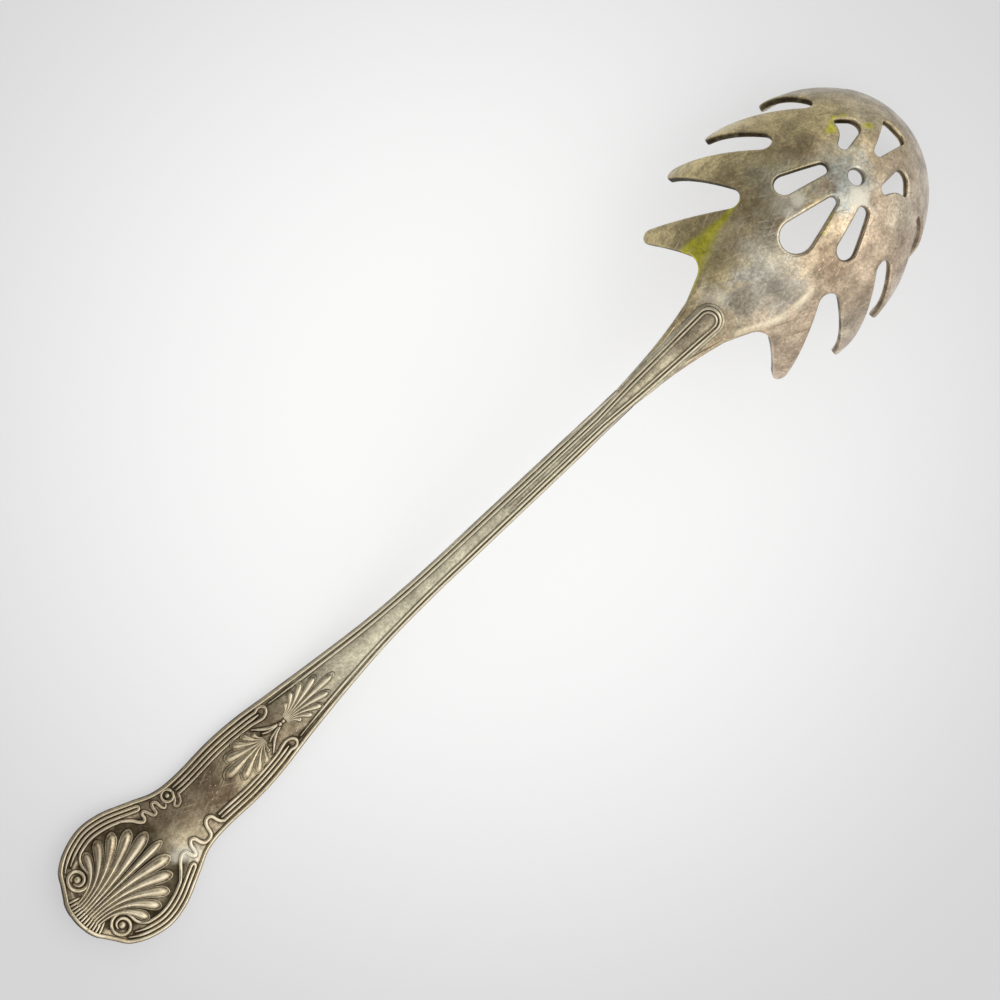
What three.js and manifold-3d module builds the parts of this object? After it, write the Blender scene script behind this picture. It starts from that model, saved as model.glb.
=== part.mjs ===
// Pasta server in silver-plated nickel silver: a struck handle with a shell end and thread borders,
// a pierced and pronged bowl, and the hard-solder fillet round the lap joint between them.
// Millimetres. The server lies face down: +X runs from the shell end to the bowl, +Z is its back.
import * as THREE from 'three';
import { TessellateModifier } from 'three/addons/modifiers/TessellateModifier.js';
import { mergeVertices } from 'three/addons/utils/BufferGeometryUtils.js';
import Module from 'manifold-3d';

const wasm = await Module();
wasm.setup();

// Bowl: sheet, press radii of the back surface along four directions, and how it sits
const SHEET = 1.6;
const END_RADIUS = 36;
const SHOULDER_RADIUS = 27.5;
const SIDE_RADIUS = 27;
const NECK_RADIUS = 44;
const BOWL_TILT = 11.5;
const POLE_X = 226.4;

// Neck: where the dome straightens, its slope against the bowl, the tang that runs under the handle
const NECK_SLOPE = 25.5;
const STRAIGHTEN_START = 16;
const STRAIGHTEN_END = 35;
const NECK_BAND = 9;
const NECK_BLEND = 16;
const NECK_WIDTH = 13.2;
const NECK_FLARE = 40;
const TANG_END = 64;
// Edge of the neck: share of the way from the tang to the flare, and share of the widening
const NECK_EDGE = [[0, 0], [0.42, 0.27], [0.75, 0.63], [1, 1]];
const NECK_EDGE_POINTS = 7;

// Blank of the bowl: prong tips and gap roots on one side, measured from the dome's pole
const PRONG_TIPS = [[-37.3, 27.6], [-19.8, 39.3], [-2.8, 40], [23.5, 37.5], [46.5, 17]];
const PRONG_TIP_RADIUS = 2.2;
const GAP_ROOTS = [[-17.2, 17.4], [-1.2, 22], [16.4, 22.2], [36.5, 20], [41.5, 0]];
const GAP_RADIUS = 2.6;
const NOTCH = [-36.4, 13];
const NOTCH_RADIUS = 4.2;

// Drain holes as runs of corner circles: x, y, radius, with a negative radius for an inward bend
const CENTRE_HOLE = [[6.1, 0, 1.95]];
const NECK_DROP_HOLE = [[-13.2, 0, 3.8], [-2.2, 0, 1.1]];
const END_FAN_HOLE = [[15.6, 0, 1.1], [26, -2, 1.6], [26, 2, 1.6]];
const SIDE_SLOT = [[-6.8, 10.1, 2.4], [1.6, 6.7, 1.4]];
const KIDNEY_HOLE = [[10.1, 6.9, 1.2], [16.1, 8.5, 2.3], [15, 11.4, 0.9], [9.3, 13.2, -4.9]];

// Handle: outline half-widths along the blank, from the notch beside the shell's foot to the stem
const STEM_WIDTH = 5.6;
const SHELL_FOOT = { depth: 2.8, halfWidth: 6.5, firstTurn: 8, steps: 5 };
const OUTLINE = [
  [3.4, 8.6], [5.2, 11.2], [9.2, 13.5], [14.6, 14.7], [20.3, 13.8], [26.9, 11], [32, 8.8], [38, 8.15],
  [48, 8.4], [56, 7.9], [66, 6.5], [78, 5], [92, 3.55], [106, 2.9],
];
const OUTLINE_SAMPLES = 3;
const STEM_START = 118;
const STEM_STEPS = 6;

// Handle: thickness along its length and how it lies
const END_THICKNESS = 2.6;
const STEM_THICKNESS = 3.6;
const TONGUE_THICKNESS = 1.2;
const REST_START = 40;
const REST_END = 58;
const END_LIFT = 3.5;
const BACK_CROWN = 0.45;
const FRONT_CROWN_START = 62;
const FRONT_CROWN_END = 82;
const EDGE_ROUND = 0.5;
const THREAD_PITCH = 0.7;
const THREAD_DEPTH = 0.32;
// Threads from the edge inwards: distance in pitches, and depth
const THREADS = [[0, EDGE_ROUND], [0.5, 0.05], [1, THREAD_DEPTH], [1.5, 0], [2, THREAD_DEPTH], [2.5, 0]];
const THREADS_SPAN = 3.4 * THREAD_PITCH;

// Shell ornament on both faces: flutes fanned out from the foot, with a scroll boss on each side
const FLUTES = 11;
const FLUTE_SPACING = 8.6;
const FLUTE_LENGTH = 23;
const FLUTE_WIDTH = 2.9;
const FLUTE_RELIEF = 0.6;
const FLUTE_SIDES = 6;
// Half-width of a flute as a share of its width, at shares of its length
const FLUTE_PROFILE = [[0, 0], [0.26, 0.3], [0.42, 0.62], [0.5, 0.84], [0.3, 0.97], [0, 1]];
// How fast the outer flutes get shorter and narrower than the middle one
const FLUTE_SHORTENING = 1.9;
const FLUTE_NARROWING = 0.4;
const SHELL_HINGE = 3;
// How far the ornament's middle plane lies under the face that it stands on
const ORNAMENT_SEAT = 0.05;
const BOSS = { x: 6.6, y: 7.3, radius: 1.7, relief: 0.9, sides: 9, rings: 6 };

// Lap joint: the tongue's outline, its clearances and the solder's leg
const TONGUE_WIDTH = 6.1;
const TONGUE_ROOT_WIDTH = 4.6;
const TONGUE_END = 36.2;
const TONGUE_STEPS = 5;
const TONGUE_END_TURNS = [25, 48, 68, 82];
const SEAT_GAP = 0.1;
const SOLDER_LEG = 0.7;

// Fineness of the faceting
const FACET = 6;
const FACET_PASSES = 12;
const ARC_STEP = THREE.MathUtils.degToRad(36);
const PRESS_STEPS = 40;

const silver = (name, color, roughness) =>
  new THREE.MeshStandardMaterial({ name, color, roughness, metalness: 1 });

// Small maths
const lerp = THREE.MathUtils.lerp;
const ease = THREE.MathUtils.smoothstep;
const rad = THREE.MathUtils.degToRad;
const FULL_TURN = 2 * Math.PI;

// A closed mesh of vertex triples and triangle indices
function geometryFrom(positions, indices) {
  const geometry = new THREE.BufferGeometry();
  geometry.setAttribute('position', new THREE.Float32BufferAttribute(positions, 3));
  geometry.setIndex(indices);
  geometry.computeVertexNormals();
  return geometry;
}

function solidFrom(geometry) {
  const bare = geometry.clone();
  bare.deleteAttribute('normal');
  bare.deleteAttribute('uv');
  const merged = mergeVertices(bare, 1e-4);
  const vertProperties = new Float32Array(merged.attributes.position.array);
  const triVerts = new Uint32Array(merged.index.array);
  return new wasm.Manifold(new wasm.Mesh({ numProp: 3, vertProperties, triVerts }));
}

function joined(geometries) {
  const solid = geometries.map(solidFrom).reduce((sum, next) => sum.add(next));
  const mesh = solid.getMesh();
  return geometryFrom(Array.from(mesh.vertProperties), Array.from(mesh.triVerts));
}

// Outline that runs round a list of circles like a belt, with straight tangents between them.
// A positive radius turns left, a negative one bends the outline inwards.
function belt(circles, closed) {
  const count = circles.length;
  const spans = closed ? count : count - 1;
  const normals = [];
  for (let i = 0; i < spans; i++) {
    const [x1, y1, r1] = circles[i];
    const [x2, y2, r2] = circles[(i + 1) % count];
    const base = Math.atan2(y2 - y1, x2 - x1);
    normals.push(base - Math.acos((r1 - r2) / Math.hypot(x2 - x1, y2 - y1)));
  }
  const points = [];
  for (let i = 0; i < count; i++) {
    const [x, y, r] = circles[i];
    const from = normals[closed ? (i + spans - 1) % spans : Math.max(i - 1, 0)];
    const to = normals[Math.min(i, spans - 1)];
    let sweep = (to - from) % FULL_TURN;
    if (r > 0 && sweep < -1e-9) sweep += FULL_TURN;
    if (r < 0 && sweep > 1e-9) sweep -= FULL_TURN;
    const steps = r === 0 ? 0 : Math.max(1, Math.ceil(Math.abs(sweep) / ARC_STEP));
    for (let k = 0; k <= steps; k++) {
      const turn = steps === 0 ? to : from + (sweep * k) / steps;
      points.push(new THREE.Vector2(x + r * Math.cos(turn), y + r * Math.sin(turn)));
    }
  }
  return points;
}

function circlePoints([x, y, r]) {
  const steps = Math.ceil(FULL_TURN / ARC_STEP);
  return Array.from({ length: steps }, (_, k) => {
    const turn = (FULL_TURN * k) / steps;
    return new THREE.Vector2(x + r * Math.cos(turn), y + r * Math.sin(turn));
  });
}

const mirrored = (circles) => circles.map(([x, y, r]) => [x, -y, r]).reverse();

// Flat blank of the bowl, with its prongs, tang and drain holes
function bowlBlank() {
  const side = [];
  PRONG_TIPS.forEach(([x, y], i) => {
    side.push([x, y, PRONG_TIP_RADIUS]);
    if (GAP_ROOTS[i][1] > 0) side.push([GAP_ROOTS[i][0], GAP_ROOTS[i][1], -GAP_RADIUS]);
  });
  const upper = [[-NECK_FLARE, NECK_WIDTH / 2, 0], [...NOTCH, -NOTCH_RADIUS], ...side];
  const farGap = GAP_ROOTS.filter(([, y]) => y === 0).map(([x, y]) => [x, y, -GAP_RADIUS]);
  const rim = belt([...mirrored(upper).reverse(), ...farGap, ...upper.reverse()], false);

  const tangHalf = STEM_WIDTH / 2;
  const edgePoints = NECK_EDGE.map(([along, widening]) => new THREE.Vector2(
    -lerp(TANG_END, NECK_FLARE, along), lerp(tangHalf, NECK_WIDTH / 2, widening)));
  const edge = new THREE.SplineCurve(edgePoints).getPoints(NECK_EDGE_POINTS).slice(0, -1);
  const lower = edge.map((p) => new THREE.Vector2(p.x, -p.y));
  const shape = new THREE.Shape([...lower, ...rim, ...edge.reverse()]);

  const holes = [circlePoints(CENTRE_HOLE[0])];
  holes.push(belt(NECK_DROP_HOLE, true), belt(END_FAN_HOLE, true));
  for (const circles of [SIDE_SLOT, KIDNEY_HOLE]) {
    holes.push(belt(circles, true), belt(mirrored(circles), true));
  }
  shape.holes = holes.map((points) => new THREE.Path(points));
  return shape;
}

// Curvature of the press along a direction, from the four radii
function pressBend(turn) {
  const end = 1 / END_RADIUS;
  const neck = 1 / NECK_RADIUS;
  const side = 1 / SIDE_RADIUS;
  const mean = (end + neck) / 2;
  const half = (end - neck) / 2;
  const c0 = (mean + side) / 2;
  const c2 = (mean - side) / 2;
  const c1 = ((1 / SHOULDER_RADIUS - c0 + c2 / 2 + half) * 2) / 3;
  const c3 = half - c1;
  return c0 + c1 * Math.cos(turn) + c2 * Math.cos(2 * turn) + c3 * Math.cos(3 * turn);
}

// Slope of the pressed surface at a blank point: the dome, with the neck held straight
function pressSlope(reach, turn) {
  const along = -reach * Math.cos(turn);
  const across = reach * Math.abs(Math.sin(turn));
  const band = 1 - ease(across, NECK_BAND, NECK_BLEND);
  const hold = band * ease(along, STRAIGHTEN_START, STRAIGHTEN_END);
  return lerp(reach * pressBend(turn), rad(NECK_SLOPE), hold);
}

// Back surface of the pressed bowl, in the row's directions, from the dome's pole
function pressed(x, y) {
  const reach = Math.hypot(x, y);
  const turn = Math.atan2(y, x);
  let out = 0;
  let down = 0;
  for (let k = 0; k < PRESS_STEPS; k++) {
    const slope = pressSlope((reach * (k + 0.5)) / PRESS_STEPS, turn);
    out += (Math.cos(slope) * reach) / PRESS_STEPS;
    down += (Math.sin(slope) * reach) / PRESS_STEPS;
  }
  const point = new THREE.Vector3(out * Math.cos(turn), out * Math.sin(turn), -down);
  return point.applyAxisAngle(new THREE.Vector3(0, 1, 0), rad(BOWL_TILT));
}

function pressedNormal(x, y) {
  const step = 0.05;
  const alongX = pressed(x + step, y).sub(pressed(x - step, y));
  const alongY = pressed(x, y + step).sub(pressed(x, y - step));
  return alongX.cross(alongY).normalize();
}

const NECK_SHEET = STEM_THICKNESS - TONGUE_THICKNESS;
const sheetAt = (x) => lerp(SHEET, NECK_SHEET, ease(-x, STRAIGHTEN_START, NECK_FLARE));

// Bowl, pressed from the blank, before it is lifted onto its prongs
function bowlGeometry() {
  const flat = new THREE.ExtrudeGeometry(bowlBlank(), { depth: 1, bevelEnabled: false });
  const fine = new TessellateModifier(FACET, FACET_PASSES).modify(flat);
  const position = fine.attributes.position;
  for (let i = 0; i < position.count; i++) {
    const x = position.getX(i);
    const y = position.getY(i);
    const under = (1 - position.getZ(i)) * sheetAt(x);
    const point = pressed(x, y).addScaledVector(pressedNormal(x, y), -under);
    position.setXYZ(i, point.x, point.y, point.z);
  }
  fine.deleteAttribute('normal');
  fine.deleteAttribute('uv');
  const bowl = mergeVertices(fine, 1e-3);
  bowl.computeVertexNormals();
  bowl.computeBoundingBox();
  return bowl;
}

const bowl = bowlGeometry();
const lift = -bowl.boundingBox.min.z;
bowl.translate(POLE_X, 0, lift);

// Line of the handle's front face, level where it rests and straight from the stem to the joint
const lapStart = pressed(-TONGUE_END, 0).add(new THREE.Vector3(POLE_X, 0, lift));
const stemTilt = rad(NECK_SLOPE - BOWL_TILT);
const stemUp = new THREE.Vector3(-Math.sin(stemTilt), 0, Math.cos(stemTilt));
const stemAway = new THREE.Vector3(-Math.cos(stemTilt), 0, -Math.sin(stemTilt));
const lapPoint = (reach) => lapStart.clone().addScaledVector(stemAway, reach - TONGUE_END);
const jointFront = lapPoint(TANG_END).addScaledVector(stemUp, -NECK_SHEET);
const stemLine = (x) => jointFront.z + (x - jointFront.x) * Math.tan(stemTilt);

function frontLine(x) {
  if (x <= REST_START) return END_LIFT * ((REST_START - x) / REST_START) ** 2;
  if (x <= REST_END) return 0;
  if (x >= STEM_START) return stemLine(x);
  const span = STEM_START - REST_END;
  const t = (x - REST_END) / span;
  const rise = stemLine(STEM_START) * t * t * (3 - 2 * t);
  return rise + Math.tan(stemTilt) * span * t * t * (t - 1);
}

// A point of the handle: along its front line, across, and up square to that line
function onHandle(x, y, up) {
  const step = 0.02;
  const tilt = Math.atan2(frontLine(x + step) - frontLine(x - step), 2 * step);
  return new THREE.Vector3(x - up * Math.sin(tilt), y, frontLine(x) + up * Math.cos(tilt));
}

const handleThickness = (x) => lerp(END_THICKNESS, STEM_THICKNESS, ease(x, REST_END, STEM_START));

// One closed section of the handle: back face with its threads, then the front face the other way
function section(x, halfWidth, low, high) {
  const threadScale = Math.min(1, halfWidth / THREADS_SPAN);
  const pitch = THREAD_PITCH * threadScale;
  const side = THREADS.map(([inset, drop]) => [halfWidth - inset * pitch, drop * threadScale]);
  const inner = side[side.length - 1][0];
  const across = [
    ...side.map(([y, drop]) => [-y, drop]),
    [-inner / 2, 0], [0, 0], [inner / 2, 0],
    ...side.slice().reverse(),
  ];
  const frontCrown = BACK_CROWN * ease(x, FRONT_CROWN_START, FRONT_CROWN_END);
  const bulge = (y) => (y / Math.max(halfWidth, 1e-6)) ** 2;
  const back = across.map(([y, drop]) => onHandle(x, y, high - drop - BACK_CROWN * threadScale * bulge(y)));
  const front = across.map(([y, drop]) => onHandle(x, y, low + drop + frontCrown * threadScale * bulge(y)));
  return [...back, ...front.reverse()];
}

// Skin through sections of equal count, closed by a fan at each end
function loft(sections) {
  const count = sections[0].length;
  const points = sections.flat();
  const indices = [];
  for (let s = 0; s + 1 < sections.length; s++) {
    for (let k = 0; k < count; k++) {
      const a = s * count + k;
      const b = s * count + ((k + 1) % count);
      indices.push(a, a + count, b, b, a + count, b + count);
    }
  }
  for (const [start, flip] of [[0, false], [(sections.length - 1) * count, true]]) {
    const centre = points.length;
    const ring = points.slice(start, start + count);
    points.push(ring.reduce((sum, p) => sum.add(p), new THREE.Vector3()).divideScalar(count));
    for (let k = 0; k < count; k++) {
      const a = start + k;
      const b = start + ((k + 1) % count);
      indices.push(...(flip ? [centre, b, a] : [centre, a, b]));
    }
  }
  return geometryFrom(points.flatMap((p) => p.toArray()), indices);
}

// Stations of the handle: shell foot, outline, stem, then the tongue that laps over the bowl's tang
function handleStations() {
  const stations = [];
  for (let k = 0; k < SHELL_FOOT.steps; k++) {
    const turn = rad(lerp(SHELL_FOOT.firstTurn, 90, k / (SHELL_FOOT.steps - 1)));
    const x = SHELL_FOOT.depth * (1 - Math.cos(turn));
    stations.push([x, SHELL_FOOT.halfWidth * Math.sin(turn)]);
  }
  const outline = new THREE.SplineCurve([
    ...OUTLINE.map(([x, y]) => new THREE.Vector2(x, y)),
    new THREE.Vector2(STEM_START, STEM_WIDTH / 2),
  ]);
  for (const p of outline.getPoints(OUTLINE_SAMPLES * OUTLINE.length)) stations.push([p.x, p.y]);
  return stations;
}

function tongueStations() {
  const end = TONGUE_WIDTH / 2;
  const straight = TANG_END - TONGUE_END - end;
  const stations = [];
  for (let k = 0; k <= TONGUE_STEPS; k++) {
    const t = k / TONGUE_STEPS;
    stations.push([TANG_END - straight * t, lerp(TONGUE_ROOT_WIDTH / 2, end, t)]);
  }
  for (const turn of TONGUE_END_TURNS) {
    stations.push([TONGUE_END + end * (1 - Math.sin(rad(turn))), end * Math.cos(rad(turn))]);
  }
  return stations;
}

function handleBlank() {
  const sections = handleStations().map(([x, half]) => section(x, half, 0, handleThickness(x)));
  const stepX = jointFront.x - SEAT_GAP;
  for (let k = 1; k <= STEM_STEPS; k++) {
    const x = lerp(STEM_START, stepX, k / STEM_STEPS);
    sections.push(section(x, STEM_WIDTH / 2, 0, STEM_THICKNESS));
  }
  for (const [reach, half] of tongueStations()) {
    const x = jointFront.x + (TANG_END - reach) * Math.cos(stemTilt) - SEAT_GAP;
    sections.push(section(x, half, NECK_SHEET + SEAT_GAP, STEM_THICKNESS));
  }
  return loft(sections);
}

const WIDEST = Math.max(...OUTLINE.map(([, halfWidth]) => halfWidth));

// Flat ornament carried over to a face of the handle
function laidOnHandle(geometry, face) {
  const position = geometry.attributes.position;
  for (let i = 0; i < position.count; i++) {
    const x = position.getX(i);
    const y = position.getY(i);
    const up = position.getZ(i);
    const crown = BACK_CROWN * Math.min(1, (y / WIDEST) ** 2);
    const seat = face === 'back' ? handleThickness(x) - crown - ORNAMENT_SEAT : ORNAMENT_SEAT;
    const point = onHandle(x, y, seat + up);
    position.setXYZ(i, point.x, point.y, point.z);
  }
  return geometry;
}

// One flute of the shell: a turned drop, flattened and swung out from the hinge
function flute(turn) {
  const length = FLUTE_LENGTH * Math.cos(turn) ** FLUTE_SHORTENING;
  const width = FLUTE_WIDTH * Math.cos(turn) ** FLUTE_NARROWING;
  const outline = FLUTE_PROFILE.map(([half, along]) => new THREE.Vector2(half * width, along * length));
  const drop = new THREE.LatheGeometry(outline, FLUTE_SIDES);
  drop.rotateZ(-Math.PI / 2);
  drop.scale(1, 1, (2 * FLUTE_RELIEF) / FLUTE_WIDTH);
  drop.rotateZ(turn);
  return drop.translate(SHELL_HINGE, 0, 0);
}

function shellOrnament(face) {
  const pieces = [];
  for (let k = 0; k < FLUTES; k++) {
    const turn = rad((k - (FLUTES - 1) / 2) * FLUTE_SPACING);
    pieces.push(laidOnHandle(flute(turn), face));
  }
  for (const side of [-1, 1]) {
    const boss = new THREE.SphereGeometry(BOSS.radius, BOSS.sides, BOSS.rings);
    boss.rotateX(Math.PI / 2);
    boss.scale(1, 1, BOSS.relief / BOSS.radius);
    pieces.push(laidOnHandle(boss.translate(BOSS.x, side * BOSS.y, 0), face));
  }
  return pieces;
}

const handle = joined([handleBlank(), ...shellOrnament('back'), ...shellOrnament('front')]);

// Solder fillet in the corner between the tongue's edge and the bowl's neck
function solderGeometry() {
  const right = tongueStations().slice(1);
  const path = [...right.map(([reach, half]) => [reach, half]), [TONGUE_END, 0]];
  path.push(...right.slice().reverse().map(([reach, half]) => [reach, -half]));
  const rings = path.map(([reach, y], i) => {
    const before = path[Math.max(i - 1, 0)];
    const after = path[Math.min(i + 1, path.length - 1)];
    const run = new THREE.Vector2(before[0] - after[0], after[1] - before[1]).normalize();
    const corner = (out, up) => lapPoint(reach)
      .addScaledVector(stemAway, run.y * (SEAT_GAP + out))
      .addScaledVector(stemUp, SEAT_GAP + up)
      .add(new THREE.Vector3(0, y + run.x * (SEAT_GAP + out), 0));
    return [corner(0, 0), corner(0, SOLDER_LEG), corner(SOLDER_LEG, 0)];
  });
  return loft(rings);
}

const server = new THREE.Group();
const parts = [
  ['handle', handle, silver('tarnished_plate', 0x9a8a6e, 0.32)],
  ['bowl', bowl, silver('worn_plate', 0xa3957c, 0.28)],
  ['solder_fillet', solderGeometry(), silver('solder', 0xb4ac9c, 0.4)],
];
for (const [name, geometry, material] of parts) {
  const mesh = new THREE.Mesh(geometry, material);
  mesh.name = name;
  server.add(mesh);
}

// Origin under the middle of the server, on the surface that it lies on
const box = new THREE.Box3().setFromObject(server, true);
server.position.set(-(box.min.x + box.max.x) / 2, -(box.min.y + box.max.y) / 2, -box.min.z);

export default server;
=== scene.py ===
"""Worn silver-plated pasta server, with a shell and threads on its handle, face down on a pale studio floor."""

import math
from functools import partial, reduce

import bpy
import numpy as np
from bpy.props import FloatProperty, FloatVectorProperty, IntProperty, PointerProperty
from mathutils import Matrix, Vector
from mathutils.geometry import delaunay_2d_cdt
from mathutils.kdtree import KDTree


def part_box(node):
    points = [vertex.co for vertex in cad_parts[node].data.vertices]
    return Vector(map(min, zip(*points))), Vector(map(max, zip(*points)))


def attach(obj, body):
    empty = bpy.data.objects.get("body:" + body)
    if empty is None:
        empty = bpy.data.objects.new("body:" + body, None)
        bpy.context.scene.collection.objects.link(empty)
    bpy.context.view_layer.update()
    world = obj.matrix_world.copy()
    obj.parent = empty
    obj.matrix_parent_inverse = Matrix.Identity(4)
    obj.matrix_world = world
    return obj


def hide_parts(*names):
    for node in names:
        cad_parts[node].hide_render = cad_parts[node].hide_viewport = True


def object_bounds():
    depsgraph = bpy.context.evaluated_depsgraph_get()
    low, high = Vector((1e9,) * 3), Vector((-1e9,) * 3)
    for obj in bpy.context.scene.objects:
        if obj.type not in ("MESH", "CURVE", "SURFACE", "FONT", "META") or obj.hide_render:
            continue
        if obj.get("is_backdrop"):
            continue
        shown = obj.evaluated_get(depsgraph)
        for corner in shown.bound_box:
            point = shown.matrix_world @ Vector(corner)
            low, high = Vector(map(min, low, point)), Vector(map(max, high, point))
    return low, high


bl_info = {
    "name": "Pasta server",
    "version": (1, 0, 0),
    "blender": (4, 5, 0),
    "location": "View3D > Sidebar > Server",
    "description": "Builds a worn silver-plated pasta server on a pale studio floor",
    "category": "Add Mesh",
}

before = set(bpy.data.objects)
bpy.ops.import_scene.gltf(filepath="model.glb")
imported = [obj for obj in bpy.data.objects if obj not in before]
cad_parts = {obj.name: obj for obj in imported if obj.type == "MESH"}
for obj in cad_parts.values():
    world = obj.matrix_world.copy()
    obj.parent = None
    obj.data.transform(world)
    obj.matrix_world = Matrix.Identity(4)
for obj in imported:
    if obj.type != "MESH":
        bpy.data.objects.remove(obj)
CAD_LOW, CAD_HIGH = (Vector(corner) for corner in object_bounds())
HANDLE_LOW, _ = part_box("handle")
BOWL_LOW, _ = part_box("bowl")

MM = 0.001

# Blank of the bowl, in millimetres from the dome's pole: its prong tips, gap roots and drain holes are corner
# circles of X, Y and radius, and a negative radius bends inwards
PRONG_TIPS = [(-37.3, 27.6), (-19.8, 39.3), (-2.8, 40.0), (23.5, 37.5), (46.5, 17.0)]
GAP_ROOTS = [(-17.2, 17.4), (-1.2, 22.0), (16.4, 22.2), (36.5, 20.0)]
FAR_GAP = (41.5, 0.0)
PRONG_TIP_RADIUS = 2.2
GAP_RADIUS = 2.6
NOTCH = (-36.4, 13.0, -4.2)
CENTRE_HOLE = (6.1, 0.0, 1.95)
NECK_DROP_HOLE = [(-13.2, 0.0, 3.8), (-2.2, 0.0, 1.1)]
END_FAN_HOLE = [(15.6, 0.0, 1.1), (26.0, -2.0, 1.6), (26.0, 2.0, 1.6)]
SIDE_SLOT = [(-6.8, 10.1, 2.4), (1.6, 6.7, 1.4)]
KIDNEY_HOLE = [(10.1, 6.9, 1.2), (16.1, 8.5, 2.3), (15.0, 11.4, 0.9), (9.3, 13.2, -4.9)]
NECK_FLARE = 40.0
NECK_WIDTH = 13.2
TANG_END = 64.0
NECK_EDGE = [(0.0, 0.0), (0.42, 0.27), (0.75, 0.63), (1.0, 1.0)]

# Press of the bowl: the pole's place from the shell end, where and how wide the neck is held straight, and
# where the rounding of its butt starts
POLE_X = 226.4
STRAIGHTEN = (16.0, 35.0)
NECK_BAND = (9.0, 16.0)
BUTT_ROUND_START = -62.6

# Mesh of the bowl: rings along every edge, as shares of its rounding, and the steps between points
EDGE_RINGS = (0.0, 0.12, 0.32, 0.6, 1.0)
RIM_STEP = 0.55
SEAT_STEP = 0.5
GRID_STEP = 0.85
GRID_ROW = 0.866
GRID_CLEARANCE = 0.45

# Raised crease between the neck and the dome, drawn on -Y of the blank and mirrored: its height, how far from it
# it fades out, and how far a painted highlight, full on -Y and faint on +Y, runs beside it
CREASE = [(-36.7, -6.7), (-32.3, -9.1), (-27.7, -11.2), (-23.0, -11.7), (-18.6, -11.3)]
CREASE_HEIGHT = 0.28
CREASE_FADE = (0.1, 1.7)
CREASE_HIGHLIGHT = (0.1, 1.2)

# Handle, in millimetres from its shell end: outline half-widths, thickness and lie
SHELL_FOOT_DEPTH = 2.8
SHELL_FOOT_HALF = 6.5
OUTLINE = [
    (3.4, 8.6), (5.2, 11.2), (9.2, 13.5), (14.6, 14.7), (20.3, 13.8), (26.9, 11.0), (32.0, 8.8), (38.0, 8.15),
    (48.0, 8.4), (56.0, 7.9), (66.0, 6.5), (78.0, 5.0), (92.0, 3.55), (106.0, 2.9), (118.0, 2.8),
]
STEM_START = 118.0
STEM_HALF = 2.8
BUTT_HALF = 2.6
END_THICKNESS = 2.6
STEM_THICKNESS = 3.6
TONGUE_THICKNESS = 1.2
NECK_SHEET = STEM_THICKNESS - TONGUE_THICKNESS
SEAT_GAP = 0.1
REST = (40.0, 58.0)
END_LIFT = 3.5
BACK_CROWN = 0.45
FRONT_CROWN = (62.0, 82.0)
CROWN_FULL_HALF = 2.4
TONGUE_HALF = 3.05
TONGUE_ROOT_HALF = 2.3
TONGUE_END = 36.2
FRONT_SINK = 0.25
FRONT_RELIEF = 0.7
BLANK_ROUND = 0.5

# Places along the handle where its panel turns to stem, where its bloom thins, and where the ground round the
# shell sinks: inside its border, from its foot, and back up before the panel
PANEL_TO_STEM = (62.0, 100.0)
BLOOM_THINS = (57.0, 84.0)
STEM_BLOOM = 0.24
TONGUE_BLOOM = 0.62
RECESS_INSET = (3.6, 4.6)
RECESS_START = (2.6, 4.0)
RECESS_END = (25.5, 28.5)

# Fall of the stem's sides beside the tongue's root: its run before the joint, and its place across the stem
SHOULDER_RUN = (18.0, 1.0)
SHOULDER_SIDE = (1.95, 2.45)

# Ornament of the handle, in millimetres from its shell end and from its middle line: the volute's centre, the
# scrolls from the shell to the side threads (curls and a boss on +Y, a round-cornered meander on -Y), the hook
# that ends the side threads, the palmette's arms and its knot
VOLUTE = (6.7, 7.0)
CURL_SCROLL = [
    (24.2, 7.7), (25.0, 6.5), (25.9, 5.7), (26.6, 6.2), (26.8, 7.2), (27.5, 7.4), (28.0, 6.3), (28.5, 5.2),
    (29.3, 5.3), (29.5, 6.6), (30.1, 7.4), (30.8, 6.8), (30.9, 5.4), (31.4, 4.6), (32.2, 5.2),
]
BOSS = (33.6, 6.2, 1.37)
BOSS_TAIL = [(34.7, 5.3), (34.1, 4.3), (33.3, 3.7), (33.7, 3.0), (34.9, 3.4)]
MEANDER_SCROLL = [
    (24.2, 7.6), (25.4, 6.3), (26.8, 5.4), (27.8, 5.5), (28.2, 6.8), (28.8, 7.6), (29.4, 6.8), (29.7, 5.2),
    (30.5, 4.4), (31.3, 4.9), (31.6, 6.0), (32.1, 6.9), (33.0, 7.1), (34.0, 7.0), (34.7, 6.4), (35.0, 5.0),
    (35.6, 3.9), (36.5, 3.5), (37.4, 4.0), (37.7, 5.2), (38.1, 6.1),
]
SIDE_HOOK = [(61.3, 6.0), (62.2, 5.6), (62.5, 4.8), (61.9, 4.0), (60.7, 3.6), (59.4, 3.8)]
PALMETTE_ARMS = [
    [(61.9, 0.40), (60.4, 0.85), (58.7, 1.9), (56.7, 3.6)],
    [(61.7, 0.25), (60.4, 0.42), (59.1, 0.7), (57.9, 1.25)],
]
KNOT = [(62.35, 0.55), (63.35, 0.48)]
STEM_THREADS_START = 63.6
THREAD_SIDES = 12
RELIEF_HALF = 0.45

# Threads along the neck's edges, and the beads of solder round the tongue and at the butt, in millimetres
NECK_THREAD_INSET = 0.95
NECK_THREAD_HALF = 0.36
NECK_THREAD_FLATNESS = 0.7
SEAM_HALF = 0.62
BUTT_BEAD_HALF = 0.66

# Wear of the ornament, as shares of its crown: up to where tarnish stays, and from where it is rubbed bright
CROWN_TARNISHED = (0.28, 0.88)
CROWN_RUBBED = (0.7, 1.0)
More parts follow.
